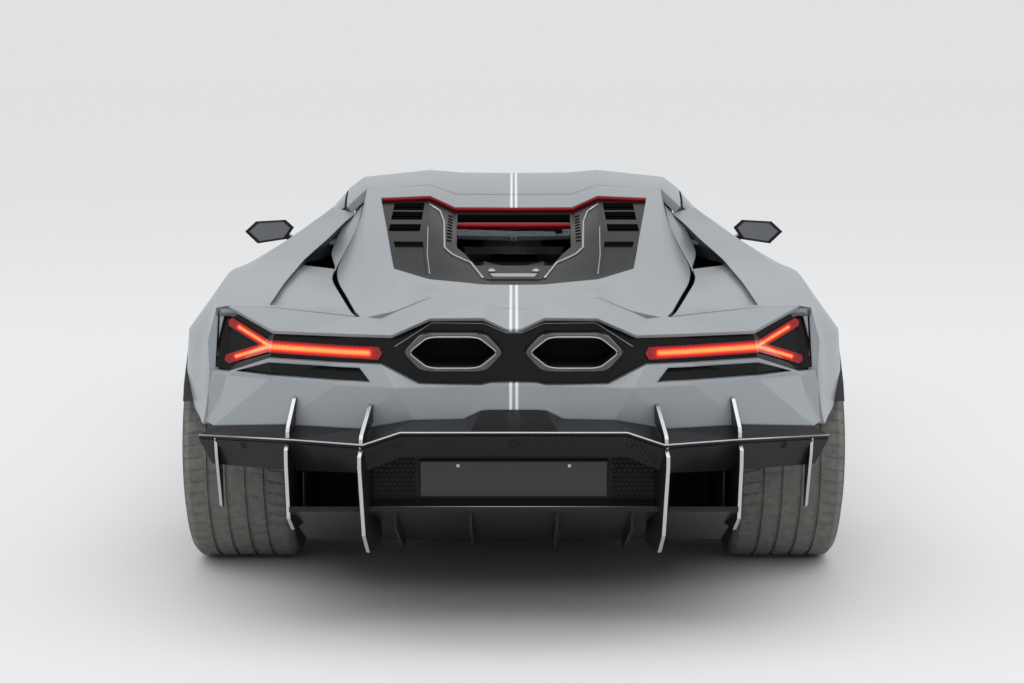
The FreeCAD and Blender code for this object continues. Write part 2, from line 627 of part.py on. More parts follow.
def rim(spec):
    """One-piece wheel: barrel, five forked spokes and a centre-lock hub, face towards +X."""
    w, seat = spec["width"] / 2, spec["rim"]
    profile = [(-w * 0.74, seat), (-w * 0.88, seat + 9.8), (-w * 0.92, seat + 6), (-w * 0.82, seat - 8),
               (-w * 0.62, seat - 16), (w * 0.60, seat - 16), (w * 0.84, seat - 6), (w * 0.92, seat + 6),
               (w * 0.88, seat + 9.8), (w * 0.74, seat)]
    face = Part.Face(polygon([V(x, 0, z) for x, z in profile]))
    barrel = face.revolve(V(0, 0, 0), V(1, 0, 0), 360)
    hub_face = w * 0.52
    hub = Part.makeCylinder(74, 60, V(hub_face - 60, 0, 0), V(1, 0, 0))
    nut = Part.makeCylinder(34, 16, V(hub_face, 0, 0), V(1, 0, 0))
    parts = [hub, nut]
    reach = seat - 14
    for k in range(5):
        for side in (-1, 1):
            root = 18.0 * side
            tip = 74.0 * side
            inner = [V(hub_face - 40, root - 12, 50), V(hub_face - 40, root + 12, 50),
                     V(hub_face, root + 9, 50), V(hub_face, root - 9, 50)]
            outer = [V(w * 0.50, tip - 13, reach - 10), V(w * 0.50, tip + 13, reach - 10),
                     V(w * 0.82, tip + 8, reach - 6), V(w * 0.82, tip - 8, reach - 6)]
            spoke = loft([inner, outer], True)
            spoke.rotate(V(0, 0, 0), V(1, 0, 0), 72 * k)
            parts.append(spoke)
    return fuse(barrel, *parts)


def disc(spec):
    """Brake disc with its bell, and the stub that carries the wheel's hub."""
    hub_back = spec["width"] / 2 * 0.52 - 60
    ring = Part.makeCylinder(200, 34, V(HUB_PLANE - 34, 0, 0), V(1, 0, 0))
    ring = ring.cut(Part.makeCylinder(118, 40, V(HUB_PLANE - 37, 0, 0), V(1, 0, 0)))
    bell = Part.makeCylinder(122, 34, V(HUB_PLANE - 30, 0, 0), V(1, 0, 0))
    bell = bell.cut(Part.makeCylinder(110, 26, V(HUB_PLANE - 34, 0, 0), V(1, 0, 0)))
    stub = Part.makeCylinder(40, hub_back - HUB_PLANE, V(HUB_PLANE, 0, 0), V(1, 0, 0))
    shaft = Part.makeCylinder(24, 40, V(HUB_PLANE - 40, 0, 0), V(1, 0, 0))
    return fuse(ring, bell, stub, shaft)


def knuckle():
    """Upright with its caliper, axle bore clear of the turning stub. Kingpin stubs stand at its ends."""
    body = block(HUB_PLANE - 78, HUB_PLANE - 46, -55, 55, -110, 110)
    body = body.cut(Part.makeCylinder(26, 60, V(HUB_PLANE - 90, 0, 0), V(1, 0, 0)))
    caliper = Part.makeCylinder(228, 78, V(HUB_PLANE - 58, 0, 0), V(1, 0, 0))
    caliper = caliper.cut(Part.makeCylinder(150, 80, V(HUB_PLANE - 59, 0, 0), V(1, 0, 0)))
    caliper = caliper.cut(Part.makeCylinder(206, 44, V(HUB_PLANE - 39, 0, 0), V(1, 0, 0)))
    wedge = prism_x([(0, 0), (400, 195), (400, -195)], HUB_PLANE - 60, HUB_PLANE + 30)
    caliper = caliper.common(wedge)
    arm = block(HUB_PLANE - 70, HUB_PLANE - 52, 40, 190, -30, 30)
    pins = Part.makeCylinder(10, 300, V(HUB_PLANE - 62, 0, -150), V(0, 0, 1))
    pins = pins.cut(block(HUB_PLANE - 90, HUB_PLANE - 30, -40, 40, -109, 109))
    return fuse(body, caliper, arm, pins)


def placed(shape, x, spec, y):
    out = shape.copy()
    out.translate(V(x, y, spec["radius"]))
    return out


def wishbones(spec, x, y, inner_x):
    """Upper and lower arms from the chassis to the upright's pins."""
    pin_x = x - KINGPIN_INSET
    arms = []
    for dz, half in ((-138, 11), (138, 9)):
        z = spec["radius"] + dz
        arm = prism_z([(pin_x + 20, y - 16), (pin_x + 20, y + 16), (inner_x, y + 180), (inner_x, y + 140),
                       (pin_x - 70, y), (inner_x, y - 140), (inner_x, y - 180)], z - half, z + half)
        eye = Part.makeCylinder(10.3, 60, V(pin_x, y, z - 30), V(0, 0, 1))
        ring = Part.makeCylinder(21, 2 * half, V(pin_x, y, z - half), V(0, 0, 1))
        arms.append(fuse(arm, ring).cut(eye))
    return arms


# Structure and cabin.
RAIL_X = 380.0


def sill():
    """Side sill of the tub, whose outer face carries the skirt."""
    sections = []
    for y in SKIRT_YS:
        top, foot = inset([SILL_TOP(y), SILL_FOOT(y)], 20.0)
        sections.append([V(*p) for p in ((top[0], y, top[1]), (foot[0], y, foot[1]), (700, y, 122),
                                         (700, y, 285), (760, y, 320), (815, y, 320), (852, y, 286))])
    return loft(sections, True)


def tub():
    """Carbon monocoque: floor, sills, bulkheads and tunnel, with the four lift pads."""
    floor = block(-760, 760, -470, 850, 120, 150)
    front = block(-520, 520, 850, 880, 120, 700)
    rear = block(-600, 600, -500, -470, 120, 800)
    tunnel = block(-110, 110, -470, 850, 150, 330)
    pads = [block(x - 40, x + 40, y - 40, y + 40, JACK_POINTS[3], 125)
            for x in (-JACK_POINTS[0], JACK_POINTS[0]) for y in JACK_POINTS[1:3]]
    return fuse(floor, sill(), mirrored(sill()), front, rear, tunnel, *pads)


def nose_frame():
    """Front structure bolted to the tub: floor, luggage box, crash rails and bumper beam."""
    floor = block(-500, 500, 880, 2050, 130, 160)
    box = block(-RAIL_X, RAIL_X, 1000, 1750, 160, 505)
    box = box.cut(block(-365, 365, 1015, 1735, 190, 600))
    rails = [block(x, x + 60, 1750, 2240, 300, 400) for x in (-330, 270)]
    beam = block(-520, 520, 2240, 2280, 290, 400)
    return fuse(floor, box, beam, *rails)


def engine_frame():
    """Rear frame of square tubes that carries engine, suspension and bumper."""
    floor = block(-350, 350, -1250, -500, 130, 170)
    parts = []
    for x in (-RAIL_X, RAIL_X - 30):
        parts += [block(x, x + 30, -1900, -500, 210, 255), block(x, x + 30, -1900, -500, 485, 530),
                  block(x, x + 30, -1900, -1870, 210, 560), block(x, x + 30, -560, -500, 130, 530),
                  block(x, x + 30, -2240, -1870, 530, 575)]
    parts += [block(-RAIL_X, RAIL_X, -1900, -1870, 210, 255), block(-RAIL_X, RAIL_X, -2282, -2240, 530, 640)]
    cross = block(-RAIL_X, RAIL_X, -1250, -1200, 130, 255).cut(block(-302, 302, -1300, -1100, 170, 300))
    return fuse(floor, cross, *parts)


def rear_window():
    """Upright glass behind the seats, in its frame on the rear bulkhead."""
    outline = [(0, 1042), (200, 1044), (300, 1074), (490, 1066), (540, 1000), (590, 800), (0, 800)]
    hole = [(0, 1018), (190, 1020), (290, 1048), (440, 1040), (470, 850), (0, 850)]
    frame = prism_y(mirrored_outline(outline), -494, -476)
    frame = frame.cut(prism_y(mirrored_outline(hole)))
    glass = prism_y(mirrored_outline(hole), -488, -483)
    return frame, glass


def seat():
    cushion = prism_x([(430, 150), (420, 290), (-60, 220), (-90, 150)], 170, 640)
    back = prism_x([(-60, 150), (20, 240), (-230, 880), (-330, 930), (-380, 880), (-240, 150)], 190, 620)
    return fuse(cushion, back)


def dashboard():
    """Padded beam across the cabin with the steering column and wheel."""
    beam = prism_x([(850, 560), (850, 756), (780, 785), (600, 770), (560, 700), (640, 600)], -600, 600)
    column = Part.makeCylinder(32, 190, V(-400, 640, 690), V(0, -1, 0.18))
    wheel = Part.makeTorus(172, 15, V(-400, 452, 724), V(0, -1, 0.18))
    spokes = block(-565, -235, 444, 460, 706, 740)
    return fuse(beam, column, wheel, spokes)


def engine():
    """Plain engine block with its gearbox behind it, between the drive shafts."""
    return fuse(block(-300, 300, -1350, -620, 170, 760), block(-210, 210, -1780, -1350, 190, 560))


def arch_bow(y, z, reach, height):
    """Half an ellipse over the axle at (y, z), on legs that stand at the floor's height."""
    turns = [math.pi * k / 10 for k in range(11)]
    crown = [(y + reach * math.cos(turn), z + height * math.sin(turn)) for turn in turns]
    return [(y + reach, 150)] + crown + [(y - reach, 150)]


def arch_liner(spec, y, reach, parts):
    """Wheel arch liner with its inner wall, longer than the tyre's circle where a steered tyre swings.

    Each part is (inner x, outer x, height over the axle). The wall has a window for the arms and shafts."""
    z = spec["radius"]
    rings = []
    for x0, x1, height in parts:
        ring = arch_bow(y, z, reach + 4, height + 4) + arch_bow(y, z, reach, height)[::-1]
        rings.append(prism_x(ring, x0, x1))
    x0, top = parts[0][0], parts[0][2]
    wall = prism_x(arch_bow(y, z, reach + 4, top + 4), x0, x0 + 4)
    rings.append(wall.cut(block(x0 - 9, x0 + 9, y - 140, y + 140, z - 175, z + 160)))
    if len(parts) > 1:
        step = prism_x(arch_bow(y, z, reach + 4, parts[1][2] + 4), parts[0][1] - 4, parts[0][1])
        rings.append(step.cut(prism_x(arch_bow(y, z, reach, top), 0, 900)))
    return fuse(*rings)


def side_duct():
    """Black duct behind the opening in the rear quarter, with the cooler's face at its inner end."""
    mouth = [(-456, 790), (-780, 716), (-862, 560), (-778, 362), (-555, 312), (-456, 352)]
    throat = [(-500, 700), (-740, 640), (-780, 540), (-740, 430), (-600, 400), (-500, 430)]
    outer = loft([[V(965, y, z) for y, z in mouth], [V(660, y, z) for y, z in throat]], True)
    cy, cz = -640, 550
    inner_mouth = [V(966, cy + (y - cy) * 0.96, cz + (z - cz) * 0.96) for y, z in mouth]
    inner_throat = [V(670, cy + (y - cy) * 0.95, cz + (z - cz) * 0.95) for y, z in throat]
    return outer.cut(loft([inner_mouth, inner_throat], True))


NOSE_ROWS = [
    (2064, [(0, 611), (298, 618), (545, 600), (700, 610), (832, 557), (904, 477), (923, 335), (905, 128)]),
    (2180, [(0, 582), (276, 588), (520, 566), (672, 566), (800, 512), (872, 440), (892, 300), (870, 118)]),
    (2300, [(0, 534), (240, 540), (480, 515), (620, 508), (735, 462), (808, 395), (828, 270), (805, 112)]),
    (2400, [(0, 487), (205, 491), (410, 466), (530, 452), (630, 420), (690, 360), (705, 250), (690, 108)]),
    (HALF_LENGTH, [(0, 448), (150, 451), (290, 436), (360, 425), (420, 400), (455, 340), (460, 240), (450, 106)]),
]
HOOD_NOSE = [(0, 2144), (534, 2144), (549, 2060), (549, 1900), (0, 1900)]
INTAKE = [(330, 250), (380, 400), (600, 395), (760, 330), (740, 180), (560, 150), (380, 160)]
CHIN_SLOT = [(-300, 208), (300, 208), (262, 150), (-262, 150)]
LAMP_FRONT = [(520, 440), (560, 474), (700, 484), (806, 468), (826, 446), (760, 424), (600, 414)]


def nose_core(depth, back):
    """Solid nose whose surface lies depth below the outer skin and whose rear edge hangs open."""
    sections = []
    for y, right in NOSE_ROWS:
        full = [(-x, z) for x, z in reversed(right) if x > 1] + right
        line = inset(full, depth) if depth else full
        if depth > 20:
            line[0] = (line[0][0], full[0][1] - 20)
            line[-1] = (line[-1][0], full[-1][1] - 20)
        sections.append([V(x, y - back, z) for x, z in line])
    return loft(sections)


def nose_skin(outer_depth, inner_depth, back):
    """Layer of the nose between two depths below its outer surface."""
    return nose_core(outer_depth, outer_depth).cut(nose_core(inner_depth, back))


def front_bumper():
    """Nose shell with its big side intakes and the pockets of the headlamps."""
    shell = nose_skin(0.0, 26.0, 30.0).cut(prism_z(mirrored_outline(HOOD_NOSE)))
    for side in (1, -1):
        shell = shell.cut(prism_y([(side * x, z) for x, z in INTAKE], 2150, 2600))
        shell = shell.cut(prism_y([(side * x, z) for x, z in LAMP_FRONT], 2100, 2600))
    return shell.cut(prism_y(CHIN_SLOT, 2150, 2600))


def intake_grille():
    """Black panel that closes the nose behind its intakes, slotted where the air goes through."""
    panel = block(-950, 950, 2195, 2203, 112, 700).common(nose_core(26.0, 30.0))
    for side in (1, -1):
        for z in range(176, 400, 28):
            x0, x1 = sorted((side * 345, side * (735 if z < 340 else 640)))
            panel = panel.cut(block(x0, x1, 2190, 2210, z, z + 16))
    return panel


def headlamp():
    layer = nose_skin(6.0, 24.0, 30.0)
    return layer.common(prism_y(LAMP_FRONT, 2100, 2600))


def splitter():
    """Black blade under the nose."""
    plan = [(0, 2466), (450, 2466), (690, 2394), (805, 2294), (870, 2174), (890, 2070), (890, 2052), (0, 2052)]
    blade = prism_z(mirrored_outline(plan), 96, 106)
    return blade


def mirror_head():
    housing = loft([
        [V(1132, 640, 862), V(1085, 640, 905), V(960, 640, 912), V(925, 640, 880), V(960, 640, 830),
         V(1080, 640, 812)],
        [V(1110, 730, 860), V(1070, 730, 890), V(975, 730, 895), V(950, 730, 872), V(975, 730, 838),
         V(1068, 730, 828)]])
    stalk = loft([
        [V(880, 660, 775), V(880, 730, 775), V(880, 730, 800), V(880, 660, 800)],
        [V(980, 665, 840), V(980, 715, 840), V(980, 715, 865), V(980, 665, 865)]], True)
    return fuse(housing, stalk)


def save(name, shape):
    shape.exportStep(os.path.join("parts", name + ".step"))
    print(name, len(shape.Solids), shape.isValid(), round(shape.Volume / 1e6, 2), "litres")


def pair(name, shape):
    save(name + "_right", shape)
    save(name + "_left", mirrored(shape))


def main():
    os.makedirs("parts", exist_ok=True)
    save("front_lid", front_lid())
    save("roof_frame", roof_frame())
    save("windscreen", windscreen())
    fender = front_fender()
    pair("front_fender", fender)
    door = door_shell()
    pair("door", door)
    pair("door_glass", door_glass())
    pair("mirror", fitted(mirror_head(), door))
    side = quarter()
    pair("quarter", side)
    skirt = side_skirt()
    save("side_skirts", Part.makeCompound([skirt, mirrored(skirt)]))
    duct = fitted(side_duct(), side)
    save("side_ducts", Part.makeCompound([duct, mirrored(duct)]))
    save("engine_lid", engine_lid())
    save("engine_vents", engine_vents())

    brow, low = tail_panel()
    sides = [side, mirrored(side)]
    brow = fitted(brow, *sides)
    low = fitted(low, *sides)
    lens = tail_lamp()
    lamps = [fitted(lens, side, brow, low), fitted(mirrored(lens), mirrored(side), brow, low)]
    tip = fitted(exhaust_tip(), brow)
    tips = [tip, mirrored(tip)]
    band = fitted(lamp_band(), brow, low, *sides)
    backing = fitted(outlet_backing(), low, band, side)
    blades = list(tail_fins())
    blades += [mirrored(fin) for fin in blades]
    low = fitted(low, *blades)
    lip = fitted(rear_lip(), low, *blades)
    under = fitted(diffuser(), *blades)
    save("tail_brow", brow)
    save("tail_bumper", low)
    save("lamp_band", Part.makeCompound([band, backing, mirrored(backing)]))
    save("tail_lamps", Part.makeCompound(lamps))
    save("exhaust_tips", Part.makeCompound(tips))
    save("rear_lip", lip)
    save("diffuser", under)
    save("plate_carrier", plate_carrier())
    save("tail_fins", Part.makeCompound(blades))

    save("tub", tub())
    front_frame = nose_frame()
    save("nose_frame", front_frame)
    save("engine_frame", engine_frame())
    frame, glass = rear_window()
    save("rear_frame", frame)
    save("rear_window", glass)
    chair = seat()
    save("seats", Part.makeCompound([chair, mirrored(chair)]))
    save("dashboard", dashboard())
    save("engine_block", engine())
    nose = front_bumper()
    save("front_bumper", nose)
    save("intake_grilles", fitted(intake_grille(), front_frame))
    lamp = headlamp()
    save("headlamps", Part.makeCompound([lamp, mirrored(lamp)]))
    save("front_splitter", fitted(splitter(), nose))
    front_liner = arch_liner(FRONT_TYRE, FRONT_AXLE_Y, 455, [(524, 664, 340), (660, 900, 382)])
    rear_liner = arch_liner(REAR_TYRE, REAR_AXLE_Y, 408, [(632, 1010, 408)])
    rear_liner = rear_liner.cut(block(637, 1300, -2200, REAR_AXLE_Y - 150, 0, 560))
    liners = [fitted(front_liner, fender, front_lid()), fitted(rear_liner, side)]
    save("arch_liners", Part.makeCompound(liners + [mirrored(part) for part in liners]))
    arms = []
    for end, spec, x, y in (("front", FRONT_TYRE, FRONT_WHEEL_X, FRONT_AXLE_Y),
                            ("rear", REAR_TYRE, REAR_WHEEL_X, REAR_AXLE_Y)):
        pair("tyre_" + end, placed(tyre(spec), x, spec, y))
        pair("rim_" + end, placed(rim(spec), x, spec, y))
        pair("disc_" + end, placed(disc(spec), x, spec, y))
        upright = placed(knuckle(), x, spec, y)
        if end == "front":
            pair("knuckle_front", upright)
        else:
            save("knuckles_rear", Part.makeCompound([upright, mirrored(upright)]))
        arms += wishbones(spec, x, y, RAIL_X)
    save("wishbones", Part.makeCompound(arms + [mirrored(arm) for arm in arms]))


main()
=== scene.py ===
import bpy
import bmesh
import math
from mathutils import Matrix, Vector
from mathutils.bvhtree import BVHTree


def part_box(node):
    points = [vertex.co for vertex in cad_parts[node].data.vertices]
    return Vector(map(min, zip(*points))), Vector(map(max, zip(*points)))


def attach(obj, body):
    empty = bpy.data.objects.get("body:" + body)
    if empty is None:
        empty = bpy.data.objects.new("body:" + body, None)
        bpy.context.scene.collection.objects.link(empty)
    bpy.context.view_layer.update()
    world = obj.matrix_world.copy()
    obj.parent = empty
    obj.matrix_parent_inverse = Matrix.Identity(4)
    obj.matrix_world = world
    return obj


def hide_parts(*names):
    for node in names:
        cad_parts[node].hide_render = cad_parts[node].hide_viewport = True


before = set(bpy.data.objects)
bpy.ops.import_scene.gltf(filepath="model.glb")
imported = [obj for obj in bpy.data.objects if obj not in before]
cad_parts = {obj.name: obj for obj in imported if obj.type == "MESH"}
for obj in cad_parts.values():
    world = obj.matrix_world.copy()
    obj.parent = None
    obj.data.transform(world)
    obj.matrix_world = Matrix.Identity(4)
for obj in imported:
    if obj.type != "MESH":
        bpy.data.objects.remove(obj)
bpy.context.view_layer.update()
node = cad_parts

# Camera behind the car, a little above its roof, looking forwards and down.
# It stands where the number plate, the track and the height all measure true.
LOOKS_DOWN = 8.285
lens = bpy.data.cameras.new("camera")
lens.lens = 70.9
lens.sensor_width = 36.0
lens.shift_x = -0.0017
lens.clip_end = 200.0
camera = bpy.data.objects.new("camera", lens)
camera.location = (0.0, -7.833, 1.628)
camera.rotation_euler = (math.radians(90 - LOOKS_DOWN), 0, 0)
bpy.context.scene.collection.objects.link(camera)
bpy.context.scene.camera = camera

# Studio: a white ceiling that fades towards the floor, one very soft overhead lamp, and long
# panels high over both sides and the tail that draw the creases. The pale wall behind the car
# shows in its gloss and through its glass too.
bpy.context.scene.view_settings.view_transform = "Standard"


def place_light(name, kind, place, aim, power):
    data = bpy.data.lights.new(name, kind)
    data.energy = power
    lamp = bpy.data.objects.new(name, data)
    lamp.location = place
    lamp.rotation_euler = (Vector(aim) - Vector(place)).to_track_quat("-Z", "Y").to_euler()
    bpy.context.scene.collection.objects.link(lamp)
    return data


def soft_panel(name, place, aim, width, height, watts):
    data = place_light(name, "AREA", place, aim, watts)
    data.shape = "RECTANGLE"
    data.size = width
    data.size_y = height


overhead = place_light("overhead", "SUN", (0, -1.5, 9.0), (0, 0, 0), 1.0)
overhead.angle = math.radians(75)
soft_panel("left_panel", (-9.0, -1.0, 7.0), (0, -0.5, 0.6), 3.0, 12.0, 150)
soft_panel("right_panel", (9.0, -1.0, 7.0), (0, -0.5, 0.6), 3.0, 12.0, 150)
soft_panel("rear_panel", (0, -13.0, 7.5), (0, -2.0, 0.6), 12.0, 2.5, 170)


def feed(socket, value):
    """Puts a number, a colour or another socket's result into a socket."""
    if isinstance(value, tuple):
        socket.default_value = (*value, 1)
    elif isinstance(value, (int, float)):
        socket.default_value = value
    else:
        socket.id_data.links.new(value, socket)


def fill(step, values):
    """Feeds a node's inputs by their names."""
    for label, value in values.items():
        feed(step.inputs[label], value)


def maths(kind, *values, clamp=False):
    """The result of a Math node. Each value is a number or a socket."""
    tree = next(v for v in values if not isinstance(v, (int, float))).id_data
    step = tree.nodes.new("ShaderNodeMath")
    step.operation = kind
    step.use_clamp = clamp
    for socket, value in zip(step.inputs, values):
        feed(socket, value)
    return step.outputs[0]


def own_place(tree, kind="Object"):
    """Coordinates or normals of what is shaded, whole and split into X, Y and Z."""
    whole = tree.nodes.new("ShaderNodeTexCoord").outputs[kind]
    split = tree.nodes.new("ShaderNodeSeparateXYZ")
    feed(split.inputs[0], whole)
    return whole, split.outputs


world = bpy.data.worlds.new("studio_room")
bpy.context.scene.world = world
world.use_nodes = True
nodes = world.node_tree.nodes
nodes.clear()
upward = own_place(world.node_tree, "Generated")[1]["Z"]
ceiling = nodes.new("ShaderNodeMapRange")
fill(ceiling, {"Value": upward, "From Min": -0.1, "From Max": 1.0, "To Min": 0.14,
               "To Max": 0.84})
air = nodes.new("ShaderNodeBackground")
fill(air, {"Color": (1, 1, 1), "Strength": ceiling.outputs["Result"]})
wall = nodes.new("ShaderNodeBackground")
fill(wall, {"Color": (0.745, 0.751, 0.759), "Strength": 1.0})
rays = nodes.new("ShaderNodeLightPath").outputs
clear_rays = maths("MAXIMUM", rays["Is Transmission Ray"], rays["Is Glossy Ray"])
pick = nodes.new("ShaderNodeMixShader")
feed(pick.inputs["Fac"], maths("MAXIMUM", clear_rays, rays["Is Camera Ray"]))
feed(pick.inputs[1], air.outputs[0])
feed(pick.inputs[2], wall.outputs[0])
out = nodes.new("ShaderNodeOutputWorld")
feed(out.inputs["Surface"], pick.outputs[0])


# Floor: one wide sheet of pale matt paper that keeps the car's soft shadow.
# It reaches so far back that it ends in the wall's own tone.
def new_finish(name):
    """A new material and its Principled shader."""
    material = bpy.data.materials.new(name)
    material.use_nodes = True
    return material, material.node_tree.nodes["Principled BSDF"]


REACH = 90.0
floor_mesh = bpy.data.meshes.new("studio_floor")
floor_mesh.from_pydata(
    [(-REACH, -REACH, 0), (REACH, -REACH, 0), (REACH, REACH, 0), (-REACH, REACH, 0)], [],
    [(0, 1, 2, 3)])
studio_floor = bpy.data.objects.new("studio_floor", floor_mesh)
bpy.context.scene.collection.objects.link(studio_floor)
paper, shader = new_finish("pale_floor")
fill(shader, {"Base Color": (0.78, 0.79, 0.80), "Roughness": 0.8})
floor_mesh.materials.append(paper)


# Structure under the skin: a carbon tub with its sills, a front frame that holds the luggage
# box, and a rear frame of square tubes. The tub is laid up in 2 by 2 twill, the frames are
# powder coated.
def effect(name, takes, gives=("Colour", "Roughness", "Height")):
    """An empty shader group, with the sockets that it takes from and gives to."""
    group = bpy.data.node_groups.new(name, "ShaderNodeTree")
    for label, value in takes.items():
        kind = "NodeSocketFloat" if isinstance(value, float) else "NodeSocketColor"
        feed(group.interface.new_socket(label, in_out="INPUT", socket_type=kind), value)
    for label in gives:
        kind = "NodeSocketColor" if label in ("Colour", "Lit") else "NodeSocketFloat"
        group.interface.new_socket(label, in_out="OUTPUT", socket_type=kind)
    start, end = group.nodes.new("NodeGroupInput"), group.nodes.new("NodeGroupOutput")
    return group, start.outputs, end.inputs


def plus(a, b, clamp=False):
    return maths("ADD", a, b, clamp=clamp)


def minus(a, b, clamp=False):
    return maths("SUBTRACT", a, b, clamp=clamp)


def times(a, b):
    return maths("MULTIPLY", a, b)


def blend_colour(mask, first, second):
    """The first colour where the mask is 0, the second where it is 1."""
    mix = mask.id_data.nodes.new("ShaderNodeMix")
    mix.data_type = "RGBA"
    feed(mix.inputs["Factor"], mask)
    feed(mix.inputs[6], first)
    feed(mix.inputs[7], second)
    return mix.outputs[2]


def speckle(place, scale, detail=2.0):
    noise = place.id_data.nodes.new("ShaderNodeTexNoise")
    fill(noise, {"Vector": place, "Scale": scale, "Detail": detail})
    return noise.outputs["Fac"]


DUST = (0.30, 0.28, 0.25)


def dust_low(at, cloud, amount, fade=2.2):
    """A mask of dust that settles low down on the car, in uneven clouds."""
    low = minus(1.0, times(at["Z"], fade), clamp=True)
    return times(times(low, cloud), amount)


# Fine grain: the slight unevenness of a moulded, cast or coated surface, under a little dust.
# Fine specks shift the tone and stand out a little, broad clouds change the gloss.
grain, take, give = effect("fine_grain", {
    "Tone": (0.02, 0.02, 0.02), "Second Tone": (0.03, 0.03, 0.03), "Scale": 900.0,
    "Low Roughness": 0.4, "High Roughness": 0.6, "Dust": 0.1})
place, at = own_place(grain)
fine = speckle(place, take["Scale"])
broad = speckle(place, 7.0, 4.0)
dusty = dust_low(at, broad, take["Dust"])
toned = blend_colour(fine, take["Tone"], take["Second Tone"])
span = minus(take["High Roughness"], take["Low Roughness"])
shine = plus(take["Low Roughness"], times(span, broad))
feed(give["Colour"], blend_colour(dusty, toned, DUST))
feed(give["Roughness"], plus(shine, times(dusty, 0.6), clamp=True))
feed(give["Height"], fine)

# Twill: tows of carbon that pass over two and under two, each step one tow further along.
# The tows that run along catch more light than those that lie across.
twill, take, give = effect("carbon_twill", {
    "Dark Tow": (0.006, 0.006, 0.007), "Light Tow": (0.022, 0.022, 0.024),
    "Tow Width": 0.0022, "Dust": 0.1})
place, at = own_place(twill)
across = maths("DIVIDE", at["X"], take["Tow Width"])
along = maths("DIVIDE", plus(at["Z"], times(at["Y"], 0.7)), take["Tow Width"])
count = plus(maths("FLOOR", across), maths("FLOOR", along))
over = maths("LESS_THAN", maths("FLOORED_MODULO", count, 4.0), 2.0)
warp = times(maths("PINGPONG", across, 0.5), over)
weft = times(maths("PINGPONG", along, 0.5), minus(1.0, over))
woven = blend_colour(over, take["Dark Tow"], take["Light Tow"])
dusty = dust_low(at, speckle(place, 9.0, 4.0), take["Dust"])
feed(give["Colour"], blend_colour(dusty, woven, DUST))
feed(give["Roughness"], plus(times(over, 0.1), 0.28))
feed(give["Height"], plus(warp, weft))


def place_effect(shader, group, values):
    """Puts an effect group beside a shader. Returns what it gives."""
    look = shader.id_data.nodes.new("ShaderNodeGroup")
    look.node_tree = group
    fill(look, values)
    return look.outputs


def coat_with(name, group, values, metallic=0.0, coat=0.0, coat_rough=0.06, bump=0.0,
              edge=0.0, specular=0.5):
    """A material fed by one effect group, whose edges look rounded to the radius edge."""
    material, shader = new_finish(name)
    look = place_effect(shader, group, values)
    relief = shader.id_data.nodes.new("ShaderNodeBump")
    fill(relief, {"Strength": 0.5, "Distance": bump, "Height": look["Height"]})
    if edge:
        rounded = shader.id_data.nodes.new("ShaderNodeBevel")
        rounded.samples = 4
        fill(rounded, {"Radius": edge})
        fill(relief, {"Normal": rounded.outputs["Normal"]})
    fill(shader, {
        "Base Color": look["Colour"], "Roughness": look["Roughness"], "Metallic": metallic,
        "Specular IOR Level": specular, "Coat Weight": coat, "Coat Roughness": coat_rough,
        "Normal": relief.outputs["Normal"]})
    return material


def grained(name, tone, second_tone, scale, rough, dust=0.1, **finish):
    """A fine-grained coat between two tones and two roughnesses."""
    return coat_with(name, grain, {
        "Tone": tone, "Second Tone": second_tone, "Scale": scale, "Low Roughness": rough[0],
        "High Roughness": rough[1], "Dust": dust}, **finish)


def dress(material, *names):
    """Gives the carried-over pieces of those names their material."""
    for name in names:
        mesh = node[name].data
        mesh.materials.clear()
        mesh.materials.append(material)


carbon = coat_with("woven_carbon", twill, {}, coat=0.05, bump=0.0002, edge=0.0015,
                   specular=0.15)
black_powder = grained("black_powder_coat", (0.012, 0.012, 0.013), (0.022, 0.022, 0.023),
                       scale=1400.0, rough=(0.5, 0.7), bump=0.0002)
dress(carbon, "tub")
dress(black_powder, "nose_frame", "engine_frame", "arch_liners", "intake_grilles")

# Engine: a twelve-cylinder block of dark castings. Crackle-painted cam covers and an intake box
# with its runners are bolted on top. A red brace crosses the lid's opening above them.
castings = grained("engine_castings", (0.035, 0.035, 0.037), (0.07, 0.07, 0.072),
                   scale=500.0, rough=(0.4, 0.6), metallic=0.5, bump=0.0006)
crackle = grained("crackle_black", (0.010, 0.010, 0.011), (0.030, 0.030, 0.031),
                  scale=260.0, rough=(0.5, 0.7), bump=0.0012)
red_gloss = grained("red_gloss", (0.26, 0.003, 0.006), (0.32, 0.005, 0.008), scale=600.0,
                    rough=(0.18, 0.26), dust=0.0, coat=0.1, specular=0.15)


def add_piece(name, shape, material, body="root", smooth=False, centre=(0, 0, 0)):
    """A new piece of the car, carried by a body, from (points, faces) about its centre."""
    points, faces = shape
    mesh = bpy.data.meshes.new(name)
    mesh.from_pydata([tuple(p) for p in points], [], faces)
    mesh.update()
    mesh.materials.append(material)
    if smooth:
        mesh.shade_smooth()
    made = bpy.data.objects.new(name, mesh)
    made.location = centre
    bpy.context.scene.collection.objects.link(made)
    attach(made, body)
    return made


def joined(*shapes):
    """Several (points, faces) shapes as one."""
    points, faces = [], []
    for some_points, some_faces in shapes:
        base = len(points)
        points += [Vector(p) for p in some_points]
        faces += [tuple(base + k for k in face) for face in some_faces]
    return points, faces


def band_faces(base, ahead, count):
    """The faces between two rings of count points that start at base and ahead."""
    return [(base + s, base + (s + 1) % count, ahead + (s + 1) % count, ahead + s)
            for s in range(count)]


def end_faces(count, rings):
    """The two faces that close a stack of rings of count points each."""
    return [tuple(reversed(range(count))), tuple(range(count * (rings - 1), count * rings))]


